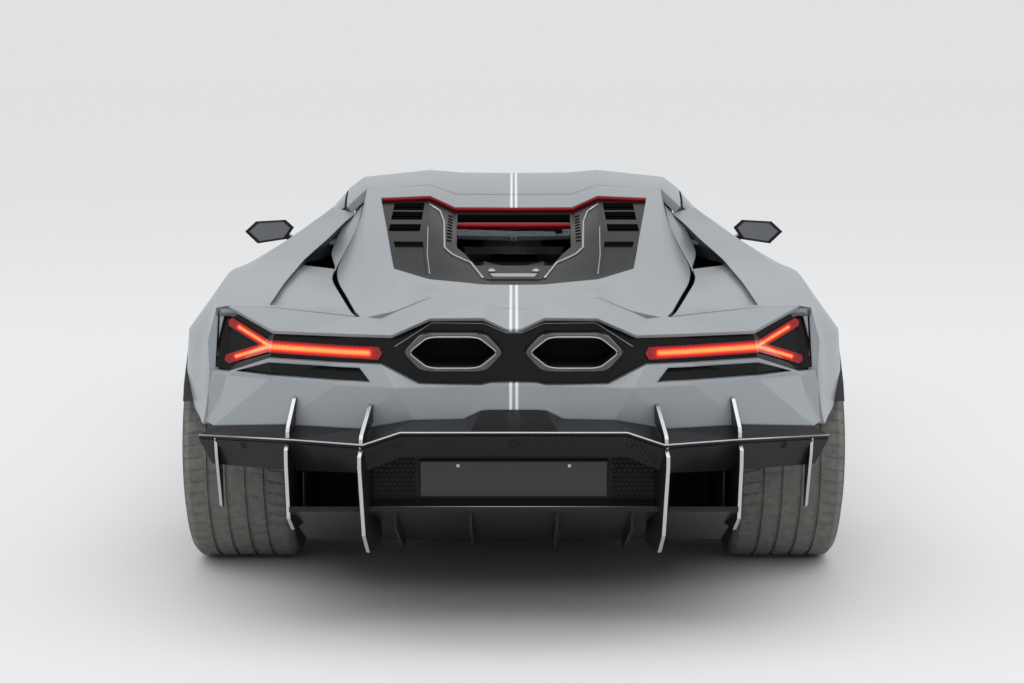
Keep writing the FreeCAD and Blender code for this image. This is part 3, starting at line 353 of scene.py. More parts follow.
def slab_of(outline, depth):
    """A flat closed outline of 3D points, thickened by the vector depth."""
    base = [Vector(p) for p in outline]
    count = len(base)
    points = base + [p + Vector(depth) for p in base]
    faces = end_faces(count, 2) + band_faces(0, count, count)
    normal = (base[1] - base[0]).cross(base[2] - base[1])
    if normal.dot(Vector(depth)) < 0:
        faces = [tuple(reversed(face)) for face in faces]
    return points, faces


def box_of(low, high, chamfer=0.0):
    """A box with its upright edges cut off. Without a cut, each pair of corners is one."""
    (x0, y0, z0), (x1, y1, z1) = low, high
    c = chamfer
    outline = [(x0 + c, y0, z0), (x1 - c, y0, z0), (x1, y0 + c, z0), (x1, y1 - c, z0),
               (x1 - c, y1, z0), (x0 + c, y1, z0), (x0, y1 - c, z0), (x0, y0 + c, z0)]
    return slab_of(outline if c else outline[::2], (0, 0, z1 - z0))


def bead_of(path, radius, sides=8, closed=False):
    """A round bar along a path of 3D points, mitred at its corners."""
    path = [Vector(p) for p in path]
    count = len(path)
    points, faces = [], []
    for k, p in enumerate(path):
        before = path[k - 1] if (k or closed) else None
        after = path[(k + 1) % count] if (k < count - 1 or closed) else None
        run_in = (p - before if before is not None else after - p).normalized()
        run_out = (after - p).normalized() if after is not None else run_in
        heading = (run_in + run_out).normalized()
        side = heading.cross(Vector((0, 0, 1)))
        if side.length < 1e-4:
            side = Vector((1, 0, 0))
        side.normalize()
        lift = side.cross(heading)
        stretch = 1 / max(0.35, math.sqrt((1 + run_in.dot(run_out)) / 2))
        for s in range(sides):
            angle = 2 * math.pi * s / sides
            points.append(p + side * radius * math.cos(angle) * stretch
                          + lift * radius * math.sin(angle))
    for k in range(count if closed else count - 1):
        faces += band_faces(k * sides, ((k + 1) % count) * sides, sides)
    if not closed:
        faces += end_faces(sides, count)
    return points, faces


dress(castings, "engine_block")
covers = []
for side in (-1, 1):
    x0, x1 = sorted((side * 0.09, side * 0.27))
    covers.append(box_of((x0, -1.32, 0.76), (x1, -0.66, 0.815), 0.02))
    for k in range(7):
        rib = (x0 + 0.02, -1.29 + 0.09 * k, 0.815), (x1 - 0.02, -1.26 + 0.09 * k, 0.823)
        covers.append(box_of(*rib, 0.004))
add_piece("cam_covers", joined(*covers), crackle)
runners = [box_of((-0.065, -1.28, 0.76), (0.065, -0.70, 0.86), 0.025)]
for k in range(6):
    for side in (-1, 1):
        bend = [(side * x, -1.23 + 0.095 * k, z)
                for x, z in ((0.05, 0.85), (0.10, 0.865), (0.14, 0.812))]
        runners.append(bead_of(bend, 0.02, 12))
add_piece("intake_runners", joined(*runners), castings)
brace_line = [(-0.196, 1.012), (-0.1, 1.0125), (0.1, 1.0125), (0.196, 1.012)]
brace = bead_of([(x, -0.80, z) for x, z in brace_line], 0.011, 16)
add_piece("red_cross_brace", brace, red_gloss, "engine_lid", True)

# Running gear: forged wishbones and uprights with their calipers, drilled ceramic discs, and
# one-piece black wheels held by a centre nut and five bolts. The alloy is plain, brushed where
# it is machined.
cast_alloy = grained("cast_alloy", (0.16, 0.16, 0.165), (0.24, 0.24, 0.245), scale=700.0,
                     rough=(0.38, 0.55), dust=0.5, metallic=0.8, bump=0.0005, edge=0.002)
wheel_black = grained("wheel_black", (0.010, 0.010, 0.011), (0.016, 0.016, 0.017),
                      scale=1500.0, rough=(0.2, 0.32), dust=0.15, metallic=0.3, coat=0.7,
                      bump=0.0001, edge=0.003)
steel = grained("machined_steel", (0.42, 0.41, 0.40), (0.55, 0.54, 0.53), scale=1200.0,
                rough=(0.22, 0.34), dust=0.0, metallic=1.0, edge=0.001)


def squares(a, b):
    return plus(times(a, a), times(b, b))


drilled, take, give = effect("drilled_disc", {
    "Face": (0.14, 0.14, 0.145), "Hole Shade": (0.01, 0.01, 0.01), "Axle Y": 0.0, "Axle Z": 0.35})
HOLE_ROWS = 30
ROW_SWEEP = 60.0
ROW_GAP, RING_GAP = 0.034, 0.009
HOLE_SQUARED = 0.000012
at = own_place(drilled)[1]
rise = minus(at["Z"], take["Axle Z"])
run = minus(at["Y"], take["Axle Y"])
radius = maths("SQRT", squares(rise, run))
turn = maths("DIVIDE", maths("ARCTAN2", rise, run), 2 * math.pi / HOLE_ROWS)
swept = plus(turn, times(radius, ROW_SWEEP))
side_step = times(maths("PINGPONG", swept, 0.5), ROW_GAP)
ring_step = maths("PINGPONG", radius, RING_GAP)
hole = maths("LESS_THAN", squares(side_step, ring_step), HOLE_SQUARED)
turned = times(maths("SINE", times(radius, 6000.0)), 0.02)
# The drilled holes are painted near black: painted shade in place of open holes.
feed(give["Colour"], blend_colour(hole, take["Face"], take["Hole Shade"]))
feed(give["Roughness"], plus(times(hole, 0.4), 0.3))
feed(give["Height"], minus(turned, hole))


def drum_of(centre, axis, radius, length, sides, chamfer):
    """A round drum from centre along axis, with its far edge cut off."""
    axis = Vector(axis).normalized()
    side = axis.orthogonal().normalized()
    other = axis.cross(side)
    rings = [(0.0, radius), (length - chamfer, radius), (length, radius - chamfer)]
    points, faces = [], []
    for height, size in rings:
        for s in range(sides):
            angle = 2 * math.pi * s / sides
            spoke = side * math.cos(angle) + other * math.sin(angle)
            points.append(Vector(centre) + axis * height + spoke * size)
    for k in range(len(rings) - 1):
        faces += band_faces(k * sides, (k + 1) * sides, sides)
    return points, faces + end_faces(sides, len(rings))


CORNERS = ("front_left", "front_right", "rear_left", "rear_right")
BOLT_CIRCLE = 0.056
HUB_SHARE = 0.52
NUT_OUT = 0.0155
dress(cast_alloy, "wishbones", "knuckles_rear", "knuckle_front_left", "knuckle_front_right")
for corner in CORNERS:
    low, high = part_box("tyre_" + corner)
    centre = (low + high) / 2
    disc = coat_with("disc_" + corner, drilled, {"Axle Y": centre.y, "Axle Z": centre.z},
                     metallic=0.6, bump=0.0015)
    dress(disc, "disc_" + corner)
    dress(wheel_black, "rim_" + corner)
    outward = 1 if centre.x > 0 else -1
    axis = (outward, 0, 0)
    hub_face = centre.x + outward * (high.x - low.x) / 2 * HUB_SHARE
    nut_face = (hub_face + outward * NUT_OUT, centre.y, centre.z)
    bolts = [drum_of(nut_face, axis, 0.023, 0.006, 6, 0.002)]
    for k in range(5):
        angle = 2 * math.pi * k / 5
        spot = (hub_face, centre.y + BOLT_CIRCLE * math.cos(angle),
                centre.z + BOLT_CIRCLE * math.sin(angle))
        bolts.append(drum_of(spot, axis, 0.009, 0.007, 12, 0.0015))
    add_piece("hub_bolts_" + corner, joined(*bolts), steel, "wheel_" + corner)

# Tyres: wide radials, whose tread has four round grooves and slanted cuts that open at the
# shoulders. Moulded rubber, duller and greyer on the tread than on the side walls.
rubber_look, take, give = effect("worn_rubber", {
    "Rubber": (0.024, 0.024, 0.025), "Worn": (0.21, 0.20, 0.185), "Tread Radius": 0.34,
    "Band": 0.02})
place, at = own_place(rubber_look)
radius = maths("SQRT", squares(at["Y"], at["Z"]))
worn = maths("DIVIDE", minus(radius, take["Tread Radius"]), take["Band"], clamp=True)
patchy = times(worn, plus(speckle(place, 40.0, 5.0), 0.35))
feed(give["Colour"], blend_colour(patchy, take["Rubber"], take["Worn"]))
feed(give["Roughness"], plus(0.55, times(worn, 0.3)))
feed(give["Height"], speckle(place, 1500.0))

TREAD_STEPS = 360
TREAD_SHARE = 0.835
GROOVES = (0.17, 0.50)
GROOVE_HALF = 0.0055
GROOVE_DEPTH = 0.007
GROOVE_DRAFT = 0.0012
OUTER_RIB = 0.6
SHOULDER = 0.78
CUT_EVERY = 6
CUT_DEPTH = 0.0045
CUT_SLANT = 5.0


def tyre_shape(radius, width, seat):
    """A tyre about the X axis, from its bead over the tread to the other bead."""
    half = width / 2
    side = [(0.74, seat), (0.90, seat + 0.010), (0.985, seat + 0.030), (1.0, seat + 0.048),
            (0.985, seat + 0.054), (0.978, seat + 0.058), (0.955, radius - 0.020),
            (0.905, radius - 0.009), (0.865, radius - 0.003), (TREAD_SHARE, radius)]
    profile = [(-x * half, z, False) for x, z in side]
    stops = sorted([-g * half for g in GROOVES] + [g * half for g in GROOVES])
    floor = radius - GROOVE_DEPTH
    previous = -TREAD_SHARE * half
    for stop in stops + [TREAD_SHARE * half]:
        edge = stop - GROOVE_HALF if stop in stops else stop
        inner = previous + (GROOVE_HALF if previous in stops else 0)
        outer = max(abs(previous), abs(stop)) > OUTER_RIB * half
        for k in range(1, 5):
            profile.append((inner + (edge - inner) * k / 5, radius, outer or None))
        if stop in stops:
            profile += [(edge, radius, None), (edge + GROOVE_DRAFT, floor, None),
                        (stop + GROOVE_HALF - GROOVE_DRAFT, floor, None),
                        (stop + GROOVE_HALF, radius, None)]
        previous = stop
    profile += [(x * half, z, False) for x, z in reversed(side)]
    points, faces = [], []
    for step in range(TREAD_STEPS):
        for x, z, cut in profile:
            shoulder = abs(x) > SHOULDER * half and z > radius - 0.012
            slanted = 2 * math.pi * (step + CUT_SLANT * abs(x) / half) / TREAD_STEPS
            depth = CUT_DEPTH if step % CUT_EVERY == 0 and (cut or shoulder) else 0.0
            if cut is None and step % (2 * CUT_EVERY) == 3 and z == radius:
                depth = 0.5 * CUT_DEPTH
            points.append((x, (z - depth) * math.cos(slanted), (z - depth) * math.sin(slanted)))
    count = len(profile)
    for step in range(TREAD_STEPS):
        faces += band_faces(step * count, ((step + 1) % TREAD_STEPS) * count, count)
    return points, faces


for corner in CORNERS:
    low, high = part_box("tyre_" + corner)
    centre = (low + high) / 2
    rim_low, rim_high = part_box("rim_" + corner)
    seat = (rim_high.z - rim_low.z) / 2 - 0.0098
    rubber = coat_with("rubber_" + corner, rubber_look, {"Tread Radius": centre.z - 0.03},
                       bump=0.0003)
    tread = add_piece("tread_" + corner, tyre_shape(centre.z, high.x - low.x, seat), rubber,
                      "wheel_" + corner, centre=centre)
    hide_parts("tyre_" + corner)

# Seats: two buckets on carbon shells, bolted to low boxes on the tub. Foam pads carry sewn
# covers, leather on the cushion and microfibre on the back, with channels sewn across them
# and a seam along each bolster.
cloth, take, give = effect("microfibre", {
    "Nap": (0.014, 0.014, 0.015), "Brushed Nap": (0.030, 0.030, 0.031), "Scale": 90.0})
place = own_place(cloth)[0]
brushed = speckle(place, take["Scale"], 6.0)
feed(give["Colour"], blend_colour(brushed, take["Nap"], take["Brushed Nap"]))
feed(give["Roughness"], plus(0.75, times(brushed, 0.2)))
feed(give["Height"], speckle(place, 1800.0))
microfibre = coat_with("black_microfibre", cloth, {}, bump=0.0004)
leather = coat_with("seat_leather", cloth, {
    "Nap": (0.022, 0.022, 0.024), "Brushed Nap": (0.034, 0.034, 0.036), "Scale": 400.0},
    coat=0.1, bump=0.0003)
SEAT_X = 0.405
CUSHION_LINE = [(0.40, 0.235), (0.28, 0.255), (0.12, 0.235), (-0.02, 0.225)]
BACK_LINE = [(-0.005, 0.265), (-0.07, 0.43), (-0.135, 0.60), (-0.20, 0.78), (-0.275, 0.895)]
CHANNEL_DEPTH = 0.006
BOLSTER_SEAM = 0.56
BOLSTER_SEAM_DEPTH = 0.007


def along_line(line, share):
    """The place and direction on a broken line, at a share from 0 to 1 of its length."""
    runs = [(Vector(b) - Vector(a)).length for a, b in zip(line, line[1:])]
    goal = share * sum(runs)
    for k, run in enumerate(runs):
        if goal <= run or k == len(runs) - 1:
            a, b = Vector(line[k]), Vector(line[k + 1])
            return a + (b - a) * goal / run, (b - a).normalized()
        goal -= run


def pad_of(line, half_width, thickness, bolster, seams, rows=56, columns=44):
    """A closed pad along a side view line, crowned between seams and raised at the bolsters."""
    points, faces = [], []
    for face_side in (1, -1):
        for i in range(rows + 1):
            share = i / rows
            place, heading = along_line(line, share)
            before = along_line(line, max(0.0, share - 0.06))[1]
            after = along_line(line, min(1.0, share + 0.06))[1]
            heading = (before + after + heading).normalized()
            normal = Vector((heading.y, -heading.x)) * (-1 if heading.x < 0 else 1)
            normal = normal if normal.y > 0 or normal.x > 0 else -normal
            for j in range(columns + 1):
                t = 2 * j / columns - 1
                swell = (max(0.0, 1 - abs(2 * share - 1) ** 7) ** 0.5
                         * max(0.0, 1 - abs(t) ** 7) ** 0.5)
                height = thickness * swell * face_side
                if face_side > 0:
                    height += bolster * swell * max(0.0, (abs(t) - 0.45) / 0.55) ** 1.5
                    for seam in seams:
                        sunk = math.exp(-((share - seam) / 0.014) ** 2)
                        height -= CHANNEL_DEPTH * sunk * (abs(t) < 0.55)
                    sunk = math.exp(-((abs(t) - BOLSTER_SEAM) / 0.03) ** 2)
                    height -= BOLSTER_SEAM_DEPTH * sunk
                spot = place + normal * height
                points.append(Vector((t * half_width, spot.x, spot.y)))
    stride = columns + 1
    size = (rows + 1) * stride
    for i in range(rows):
        for j in range(columns):
            a = i * stride + j
            faces.append((a, a + 1, a + stride + 1, a + stride))
            faces.append((size + a + stride, size + a + stride + 1, size + a + 1, size + a))
    return points, faces


def add_pad(name, shape, shift, material):
    """A pad moved sideways into its seat, with its two faces welded along their edges."""
    points, faces = shape
    points = [p + Vector((shift, 0, 0)) for p in points]
    made = add_piece(name, (points, faces), material, smooth=True)
    welder = bmesh.new()
    welder.from_mesh(made.data)
    bmesh.ops.remove_doubles(welder, verts=welder.verts, dist=0.0004)
    bmesh.ops.recalc_face_normals(welder, faces=welder.faces)
    welder.to_mesh(made.data)
    welder.free()
    return made


cushion = pad_of(CUSHION_LINE, 0.235, 0.045, 0.035, (0.3, 0.5, 0.7))
back = pad_of(BACK_LINE, 0.215, 0.042, 0.045, (0.16, 0.28, 0.40, 0.52, 0.64))
shell = pad_of([(y - 0.045, z - 0.012) for y, z in BACK_LINE], 0.222, 0.04, 0.0, (), 24, 20)
for x, label in ((-SEAT_X, "left"), (SEAT_X, "right")):
    made = add_pad("seat_cushion_" + label, cushion, x, leather)
    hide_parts("seats")
    add_pad("seat_back_" + label, back, x, microfibre)
    add_pad("seat_shell_" + label, shell, x, carbon)
    base = box_of((x - 0.19, -0.05, 0.15), (x + 0.19, 0.36, 0.205), 0.02)
    add_piece("seat_base_" + label, base, black_powder)

# Dashboard: a moulded carrier padded with black microfibre, with three glass screens let into
# it. The powder-coated frame of the rear bulkhead stands behind the seats.
screen_glass = grained("screen_glass", (0.004, 0.004, 0.005), (0.006, 0.006, 0.007),
                       scale=30.0, rough=(0.10, 0.16), dust=0.0, specular=0.2)
dress(microfibre, "dashboard")
dress(black_powder, "rear_frame")
screens = joined(
    slab_of([(-0.52, 0.690, 0.776), (-0.28, 0.690, 0.776), (-0.29, 0.700, 0.850),
             (-0.51, 0.700, 0.850)], (0, 0.012, 0)),
    slab_of([(-0.09, 0.568, 0.700), (0.09, 0.568, 0.700), (0.10, 0.596, 0.772),
             (-0.10, 0.596, 0.772)], (0, 0.010, 0.002)),
    slab_of([(0.24, 0.572, 0.712), (0.50, 0.572, 0.712), (0.50, 0.592, 0.760),
             (0.24, 0.592, 0.760)], (0, 0.010, 0.002)))
add_piece("cabin_screens", screens, screen_glass)

# Bodywork: aluminium and carbon panels in a satin light grey with a cool cast, and thin white
# stripes along the middle from nose to tail. Folded edges catch a fine line of light. Faces
# that turn inwards, and on the lids faces that turn downwards, are painted near black as
# painted shade.
# The skirts and the splitter below are woven carbon.
paint_look, take, give = effect("satin_paint", {
    "Paint": (0.285, 0.312, 0.336), "Flake": (0.335, 0.362, 0.386),
    "Stripe": (0.86, 0.87, 0.88), "Stripe Inner": 0.0042, "Stripe Outer": 0.0, "Dust": 0.06,
    "Painted Shade": (0.014, 0.014, 0.015), "Inside X": 0.0, "Inside Z": 0.0, "Inside From": 0.45})
place, at = own_place(paint_look)
facing = own_place(paint_look, "Normal")[1]
# Faces turned inwards or downwards past Inside From are painted near black: painted shade where
# shade falls inside the body.
inward = plus(times(facing["X"], take["Inside X"]), times(facing["Z"], take["Inside Z"]))
painted_shade_inside = maths("GREATER_THAN", inward, take["Inside From"])
flake = speckle(place, 3200.0)
tone = blend_colour(flake, take["Paint"], take["Flake"])
offset = maths("ABSOLUTE", at["X"])
striped = times(maths("GREATER_THAN", offset, take["Stripe Inner"]),
                maths("LESS_THAN", offset, take["Stripe Outer"]))
tone = blend_colour(striped, tone, take["Stripe"])
tone = blend_colour(painted_shade_inside, tone, take["Painted Shade"])
dusty = dust_low(at, speckle(place, 6.0, 5.0), take["Dust"], fade=2.6)
cloudy = times(speckle(place, 3.0, 3.0), 0.08)
feed(give["Colour"], blend_colour(dusty, tone, DUST))
feed(give["Roughness"], plus(0.36, plus(cloudy, times(painted_shade_inside, 0.3))))
feed(give["Height"], flake)


def paint_of(name, values):
    return coat_with(name, paint_look, values, metallic=0.25, coat=0.3, coat_rough=0.22,
                     bump=0.00002, edge=0.006)


STRIPED = {"Stripe Outer": 0.0128}
# The lids' downward faces are painted near black as painted shade.
SHADED_BELOW = {"Inside Z": -1.0, "Inside From": 0.2}
dress(paint_of("satin_grey", {}), "front_fender_left", "front_fender_right")
dress(paint_of("satin_grey_striped", STRIPED), "tail_brow", "tail_bumper", "front_bumper")
dress(paint_of("satin_grey_lids", {**STRIPED, **SHADED_BELOW}), "roof_frame", "front_lid",
      "engine_lid")
# The inward faces of the doors and the quarters are painted near black as painted shade.
for inside, label in ((1.0, "left"), (-1.0, "right")):
    door = {"Inside X": inside, "Inside From": 0.3}
    quarter = {"Inside X": inside, "Inside From": 0.6}
    dress(paint_of("satin_grey_door_" + label, door), "door_" + label)
    dress(paint_of("satin_grey_quarter_" + label, quarter), "quarter_" + label)
dress(carbon, "side_skirts", "front_splitter")
dress(black_powder, "side_ducts")


# Glass: a laminated windscreen, tinted door windows and the upright pane between cabin and
# engine, all bonded into their frames. A powder-coated wiper parks at the windscreen's foot.
def clear_glass(name, tint):
    material, shader = new_finish(name)
    fill(shader, {"Base Color": tint, "Roughness": 0.0, "Transmission Weight": 1.0,
                  "IOR": 1.45})
    return material


def surface_under(name):
    """A tree of the piece's faces, to find where a straight line meets it."""
    mesh = node[name].data
    return BVHTree.FromPolygons([v.co for v in mesh.vertices],
                                [tuple(p.vertices) for p in mesh.polygons])


def top_of(tree, x, y, lift=0.0):
    """The point above (x, y) on the piece's upper side, lift metres off it."""
    hit = tree.ray_cast(Vector((x, y, 3.0)), Vector((0, 0, -1)))
    return hit[0] + hit[1] * lift


def spread(points, gap):
    """The same broken line with points no further apart than gap."""
    dense = [Vector(points[0])]
    for a, b in zip(points, points[1:]):
        a, b = Vector(a), Vector(b)
        steps = max(1, math.ceil((b - a).length / gap))
        dense += [a + (b - a) * k / steps for k in range(1, steps + 1)]
    return dense


def bar_over(tree, line, radius, lift, sides):
    """A bar laid over a piece along points given from above."""
    return bead_of([top_of(tree, p.x, p.y, lift) for p in spread(line, 0.03)], radius, sides)


dress(clear_glass("windscreen_glass", (0.62, 0.68, 0.68)), "windscreen")
dress(clear_glass("tinted_glass", (0.10, 0.115, 0.125)), "door_glass_left", "door_glass_right")
dress(clear_glass("bulkhead_glass", (0.35, 0.38, 0.39)), "rear_window")
screen = surface_under("windscreen")
blade = bar_over(screen, [(-0.46, 0.97), (-0.20, 1.04), (0.05, 1.07)], 0.006, 0.007, 6)
arm = bar_over(screen, [(-0.20, 1.045), (0.02, 1.095), (0.20, 1.115)], 0.007, 0.016, 6)
pivot = drum_of(top_of(screen, 0.20, 1.115), (0, 0, 1), 0.016, 0.022, 16, 0.004)
add_piece("wiper", joined(blade, arm, pivot), black_powder)

# Engine window: a smoked cover on the rear lid with raised slats over the cooling vents on
# both sides, silver rails beside the opening, small ribs along them and red trim at the front.
# A rear pane carries two latches and their bar. All of it lifts with the lid.
gloss_black = grained("gloss_black", (0.006, 0.006, 0.0065), (0.009, 0.009, 0.010),
                      scale=60.0, rough=(0.12, 0.20), edge=0.003, specular=0.2)
silver = grained("satin_silver", (0.50, 0.50, 0.51), (0.58, 0.58, 0.59), scale=900.0,
                 rough=(0.26, 0.36), metallic=0.9)
smoked = grained("smoked_cover", (0.004, 0.004, 0.0045), (0.006, 0.006, 0.0065),
                 scale=60.0, rough=(0.16, 0.24), dust=0.0, edge=0.004, specular=0.05)
dress(smoked, "engine_vents")
vents = surface_under("engine_vents")


def flipped(shape):
    """The shape's mirror image on the car's other side."""
    points, faces = shape
    return ([Vector((-p[0], p[1], p[2])) for p in points],
            [tuple(reversed(face)) for face in faces])


def both_sides(shapes):
    return joined(*shapes, *[flipped(shape) for shape in shapes])


RAIL = [(0.300, -0.668), (0.262, -0.700), (0.243, -0.834), (0.229, -1.191), (0.203, -1.261),
        (0.139, -1.349), (0.097, -1.542)]
SIDE_LINE = [(0.293, -0.963), (0.281, -1.30), (0.266, -1.500)]
rails = [bar_over(vents, RAIL, 0.0035, 0.002, 8), bar_over(vents, SIDE_LINE, 0.0015, 0.001, 8)]
add_piece("window_rails", both_sides(rails), silver, "engine_lid", True)


def skin_between(loops, closed=False):
    """Closed loops of equal length joined in turn, with end faces or last to first."""
    count = len(loops[0])
    points = [p for loop in loops for p in loop]
    faces = []
    for k in range(len(loops) if closed else len(loops) - 1):
        base, ahead = k * count, ((k + 1) % len(loops)) * count
        faces += [(base + s, ahead + s, ahead + (s + 1) % count, base + (s + 1) % count)
                  for s in range(count)]
    if not closed:
        faces += [tuple(reversed(face)) for face in end_faces(count, len(loops))]
    return points, faces


lid = surface_under("engine_lid")
SKIN_Y = -0.560


def window_edge(x):
    """The rear end of the lid's skin at x, where the window's front side drops away."""
    spot = top_of(lid, x, SKIN_Y)
    for k in range(1, 101):
        hit = lid.ray_cast(Vector((x, SKIN_Y - 0.001 * k, 3.0)), Vector((0, 0, -1)))[0]
        if hit is None or hit.z < spot.z - 0.008:
            break
        spot = hit
    return spot


loops = []
for k in range(-94, 95):
    edge = window_edge(0.005 * abs(k))
    x, front, rear = 0.005 * k, edge.y + 0.001, edge.y - 0.003
    top, foot = edge.z - 0.0015, edge.z - 0.0175
    loops.append([Vector((x, y, z))
                  for y, z in ((front, top), (rear, top), (rear, foot), (front, foot))])
add_piece("window_front_trim", skin_between(loops), red_gloss, "engine_lid", True)

PANE = ((-0.128, -1.385), (0.128, -1.385), (0.088, -1.560), (-0.088, -1.560))
rear_pane = slab_of([top_of(vents, x, y, 0.0015) for x, y in PANE], (0, 0, -0.004))
add_piece("window_rear_pane", rear_pane, smoked, "engine_lid")
pane = BVHTree.FromPolygons(*rear_pane)
up = Vector((0, 0, 1))
latches = []
for side in (-1, 1):
    spot = top_of(pane, side * 0.070, -1.459)
    latches.append(drum_of(spot - up * 0.001, up, 0.013, 0.007, 24, 0.003))
    latches.append(drum_of(spot + up * 0.005, up, 0.007, 0.004, 6, 0.001))
BAR = ((-0.075, -1.500), (0.075, -1.500), (0.066, -1.536), (-0.066, -1.536))
latches.append(slab_of([top_of(pane, x, y) - up * 0.001 for x, y in BAR], up * 0.005))
add_piece("window_latches", joined(*latches), steel, "engine_lid")
ribs = []
for k in range(9):
    x, y = 0.215 - 0.0008 * k, -0.70 - 0.048 * k
    ribs.append(bar_over(vents, [(x, y), (x + 0.017, y)], 0.0022, 0.001, 6))
add_piece("window_ribs", both_sides(ribs), smoked, "engine_lid")


# Tail lamps: a gloss black band let into the tail carries a Y of red light guides at each end.
# Each guide glows orange where it is brightest, down the middle of each arm. A thin silver
# bead over the band's middle housing is a painted highlight, for the light its edge catches.
def arm_gap(across, height, take, run, short=0.0):
    """How far a point lies from one arm of a Y, which runs from the group's hub along run."""
    length = math.hypot(*run)
    dx, dz = minus(across, take["Hub X"]), minus(height, take["Hub Z"])
    along = plus(times(dx, run[0] / length), times(dz, run[1] / length))
    held = maths("MINIMUM", maths("MAXIMUM", along, 0.0), length - short)
    off_x = minus(dx, times(held, run[0] / length))
    off_z = minus(dz, times(held, run[1] / length))
    return maths("SQRT", squares(off_x, off_z))


HUB_X, HUB_Z = 0.693, 0.789
ARMS = [(0.818, 0.845, 0.0038), (0.828, 0.738, 0.0038), (0.378, 0.783, 0.0062)]
DOT_GAP, DOT_HALF = 0.006, 0.0008
RING_AT, RING_HALF = 2.9, 0.14
led, take, give = effect("led_guide", {
    "Core": (1.0, 0.26, 0.06), "Glow": (0.80, 0.010, 0.008), "Rim": (0.085, 0.002, 0.003),
    "Hub X": HUB_X, "Hub Z": HUB_Z}, ("Colour",))
at = own_place(led)[1]
from_middle = maths("ABSOLUTE", at["X"])
nearest = None
for tip_x, tip_z, core_half in ARMS:
    gap = arm_gap(from_middle, at["Z"], take, (tip_x - HUB_X, tip_z - HUB_Z), 0.030)
    share = maths("DIVIDE", gap, core_half)
    nearest = share if nearest is None else maths("MINIMUM", nearest, share)
dots = maths("LESS_THAN", maths("PINGPONG", at["X"], DOT_GAP), DOT_HALF)
inside = minus(1.4, nearest, clamp=True)
outside = minus(nearest, 1.3, clamp=True)
ring = maths("LESS_THAN", maths("ABSOLUTE", minus(nearest, RING_AT)), RING_HALF)
hot = blend_colour(inside, take["Glow"], take["Core"])
fading = blend_colour(times(outside, 0.9), hot, take["Rim"])
dotted = blend_colour(times(dots, 0.35), fading, take["Rim"])
feed(give["Colour"], blend_colour(times(ring, 0.35), dotted, take["Glow"]))
red_lens, shader = new_finish("red_lens")
light = place_effect(shader, led, {})["Colour"]
fill(shader, {"Base Color": light, "Emission Color": light, "Emission Strength": 0.9,
              "Roughness": 0.12})
dress(red_lens, "tail_lamps")
dress(gloss_black, "lamp_band")


def rear_of(tree, x, z, lift=0.0):
    """The point on the piece's rear side at (x, z), lift metres off it."""
    hit = tree.ray_cast(Vector((x, -4.0, z)), Vector((0, 1, 0)))
    return hit[0] + hit[1] * lift


# A thin silver bead over the middle housing: a painted highlight along its edge.
band = surface_under("lamp_band")
HOUSING = [(-0.333, 0.802), (-0.228, 0.871), (-0.083, 0.871), (-0.021, 0.845), (0.021, 0.845),
           (0.083, 0.871), (0.228, 0.871), (0.333, 0.802)]
line = [rear_of(band, p.x, p.y, 0.001) for p in spread(HOUSING, 0.012)]
add_piece("band_painted_highlight", bead_of(line, 0.0014, 6), silver, smooth=True)

# Exhausts: two hexagonal pipes behind black surrounds in the band. Each pipe ends in a flat
# ribbed collar of heat-stained steel with a bright inner rim. Inside, each is painted black,
# in uneven patches of soot and in painted shade that deepens towards the bore's closed end.
sooty, take, give = effect("soot_and_shade_steel", {
    "Bright": (0.24, 0.225, 0.21), "Soot And Shade": (0.006, 0.006, 0.006), "Mouth Y": -2.334,
    "Depth": 0.02})
place, at = own_place(sooty)
# Darker deeper into the bore: painted shade of the pipe's depth, with patchy soot on top.
deep = maths("DIVIDE", minus(at["Y"], take["Mouth Y"]), take["Depth"], clamp=True)
uneven = times(speckle(place, 30.0, 5.0), 0.6)
soot_and_depth_shade = plus(deep, times(uneven, 0.6), clamp=True)
feed(give["Colour"], blend_colour(soot_and_depth_shade, take["Bright"], take["Soot And Shade"]))
feed(give["Roughness"], plus(times(soot_and_depth_shade, 0.4), 0.35))
feed(give["Height"], speckle(place, 800.0))
pipe_steel = coat_with("sooty_pipe", sooty, {}, metallic=0.5, bump=0.0002, edge=0.002)
# The surround's inside is darkened the same way, with soot and painted shade.
surround = coat_with("sooty_surround", sooty, {
    "Bright": (0.012, 0.012, 0.012), "Mouth Y": -2.330}, bump=0.0002, edge=0.002,
    specular=0.25)
dress(surround, "exhaust_tips")


def rounded_hexagon(centre_x, centre_z, half, corner, high, y, blend=0.22, steps=5):
    """A lying hexagon in the plane at y, with its corners eased over a share of each side."""
    corners = [Vector((x, y, z)) for x, z in (
        (-half, 0), (-corner, high), (corner, high), (half, 0), (corner, -high),
        (-corner, -high))]
    line = []
    for k, p in enumerate(corners):
        before, after = corners[k - 1], corners[(k + 1) % 6]
        a, b = p + (before - p) * blend, p + (after - p) * blend
        for step in range(steps + 1):
            t = step / steps
            line.append(a * (1 - t) ** 2 + p * 2 * t * (1 - t) + b * t ** 2)
    return [p + Vector((centre_x, 0, centre_z)) for p in line]


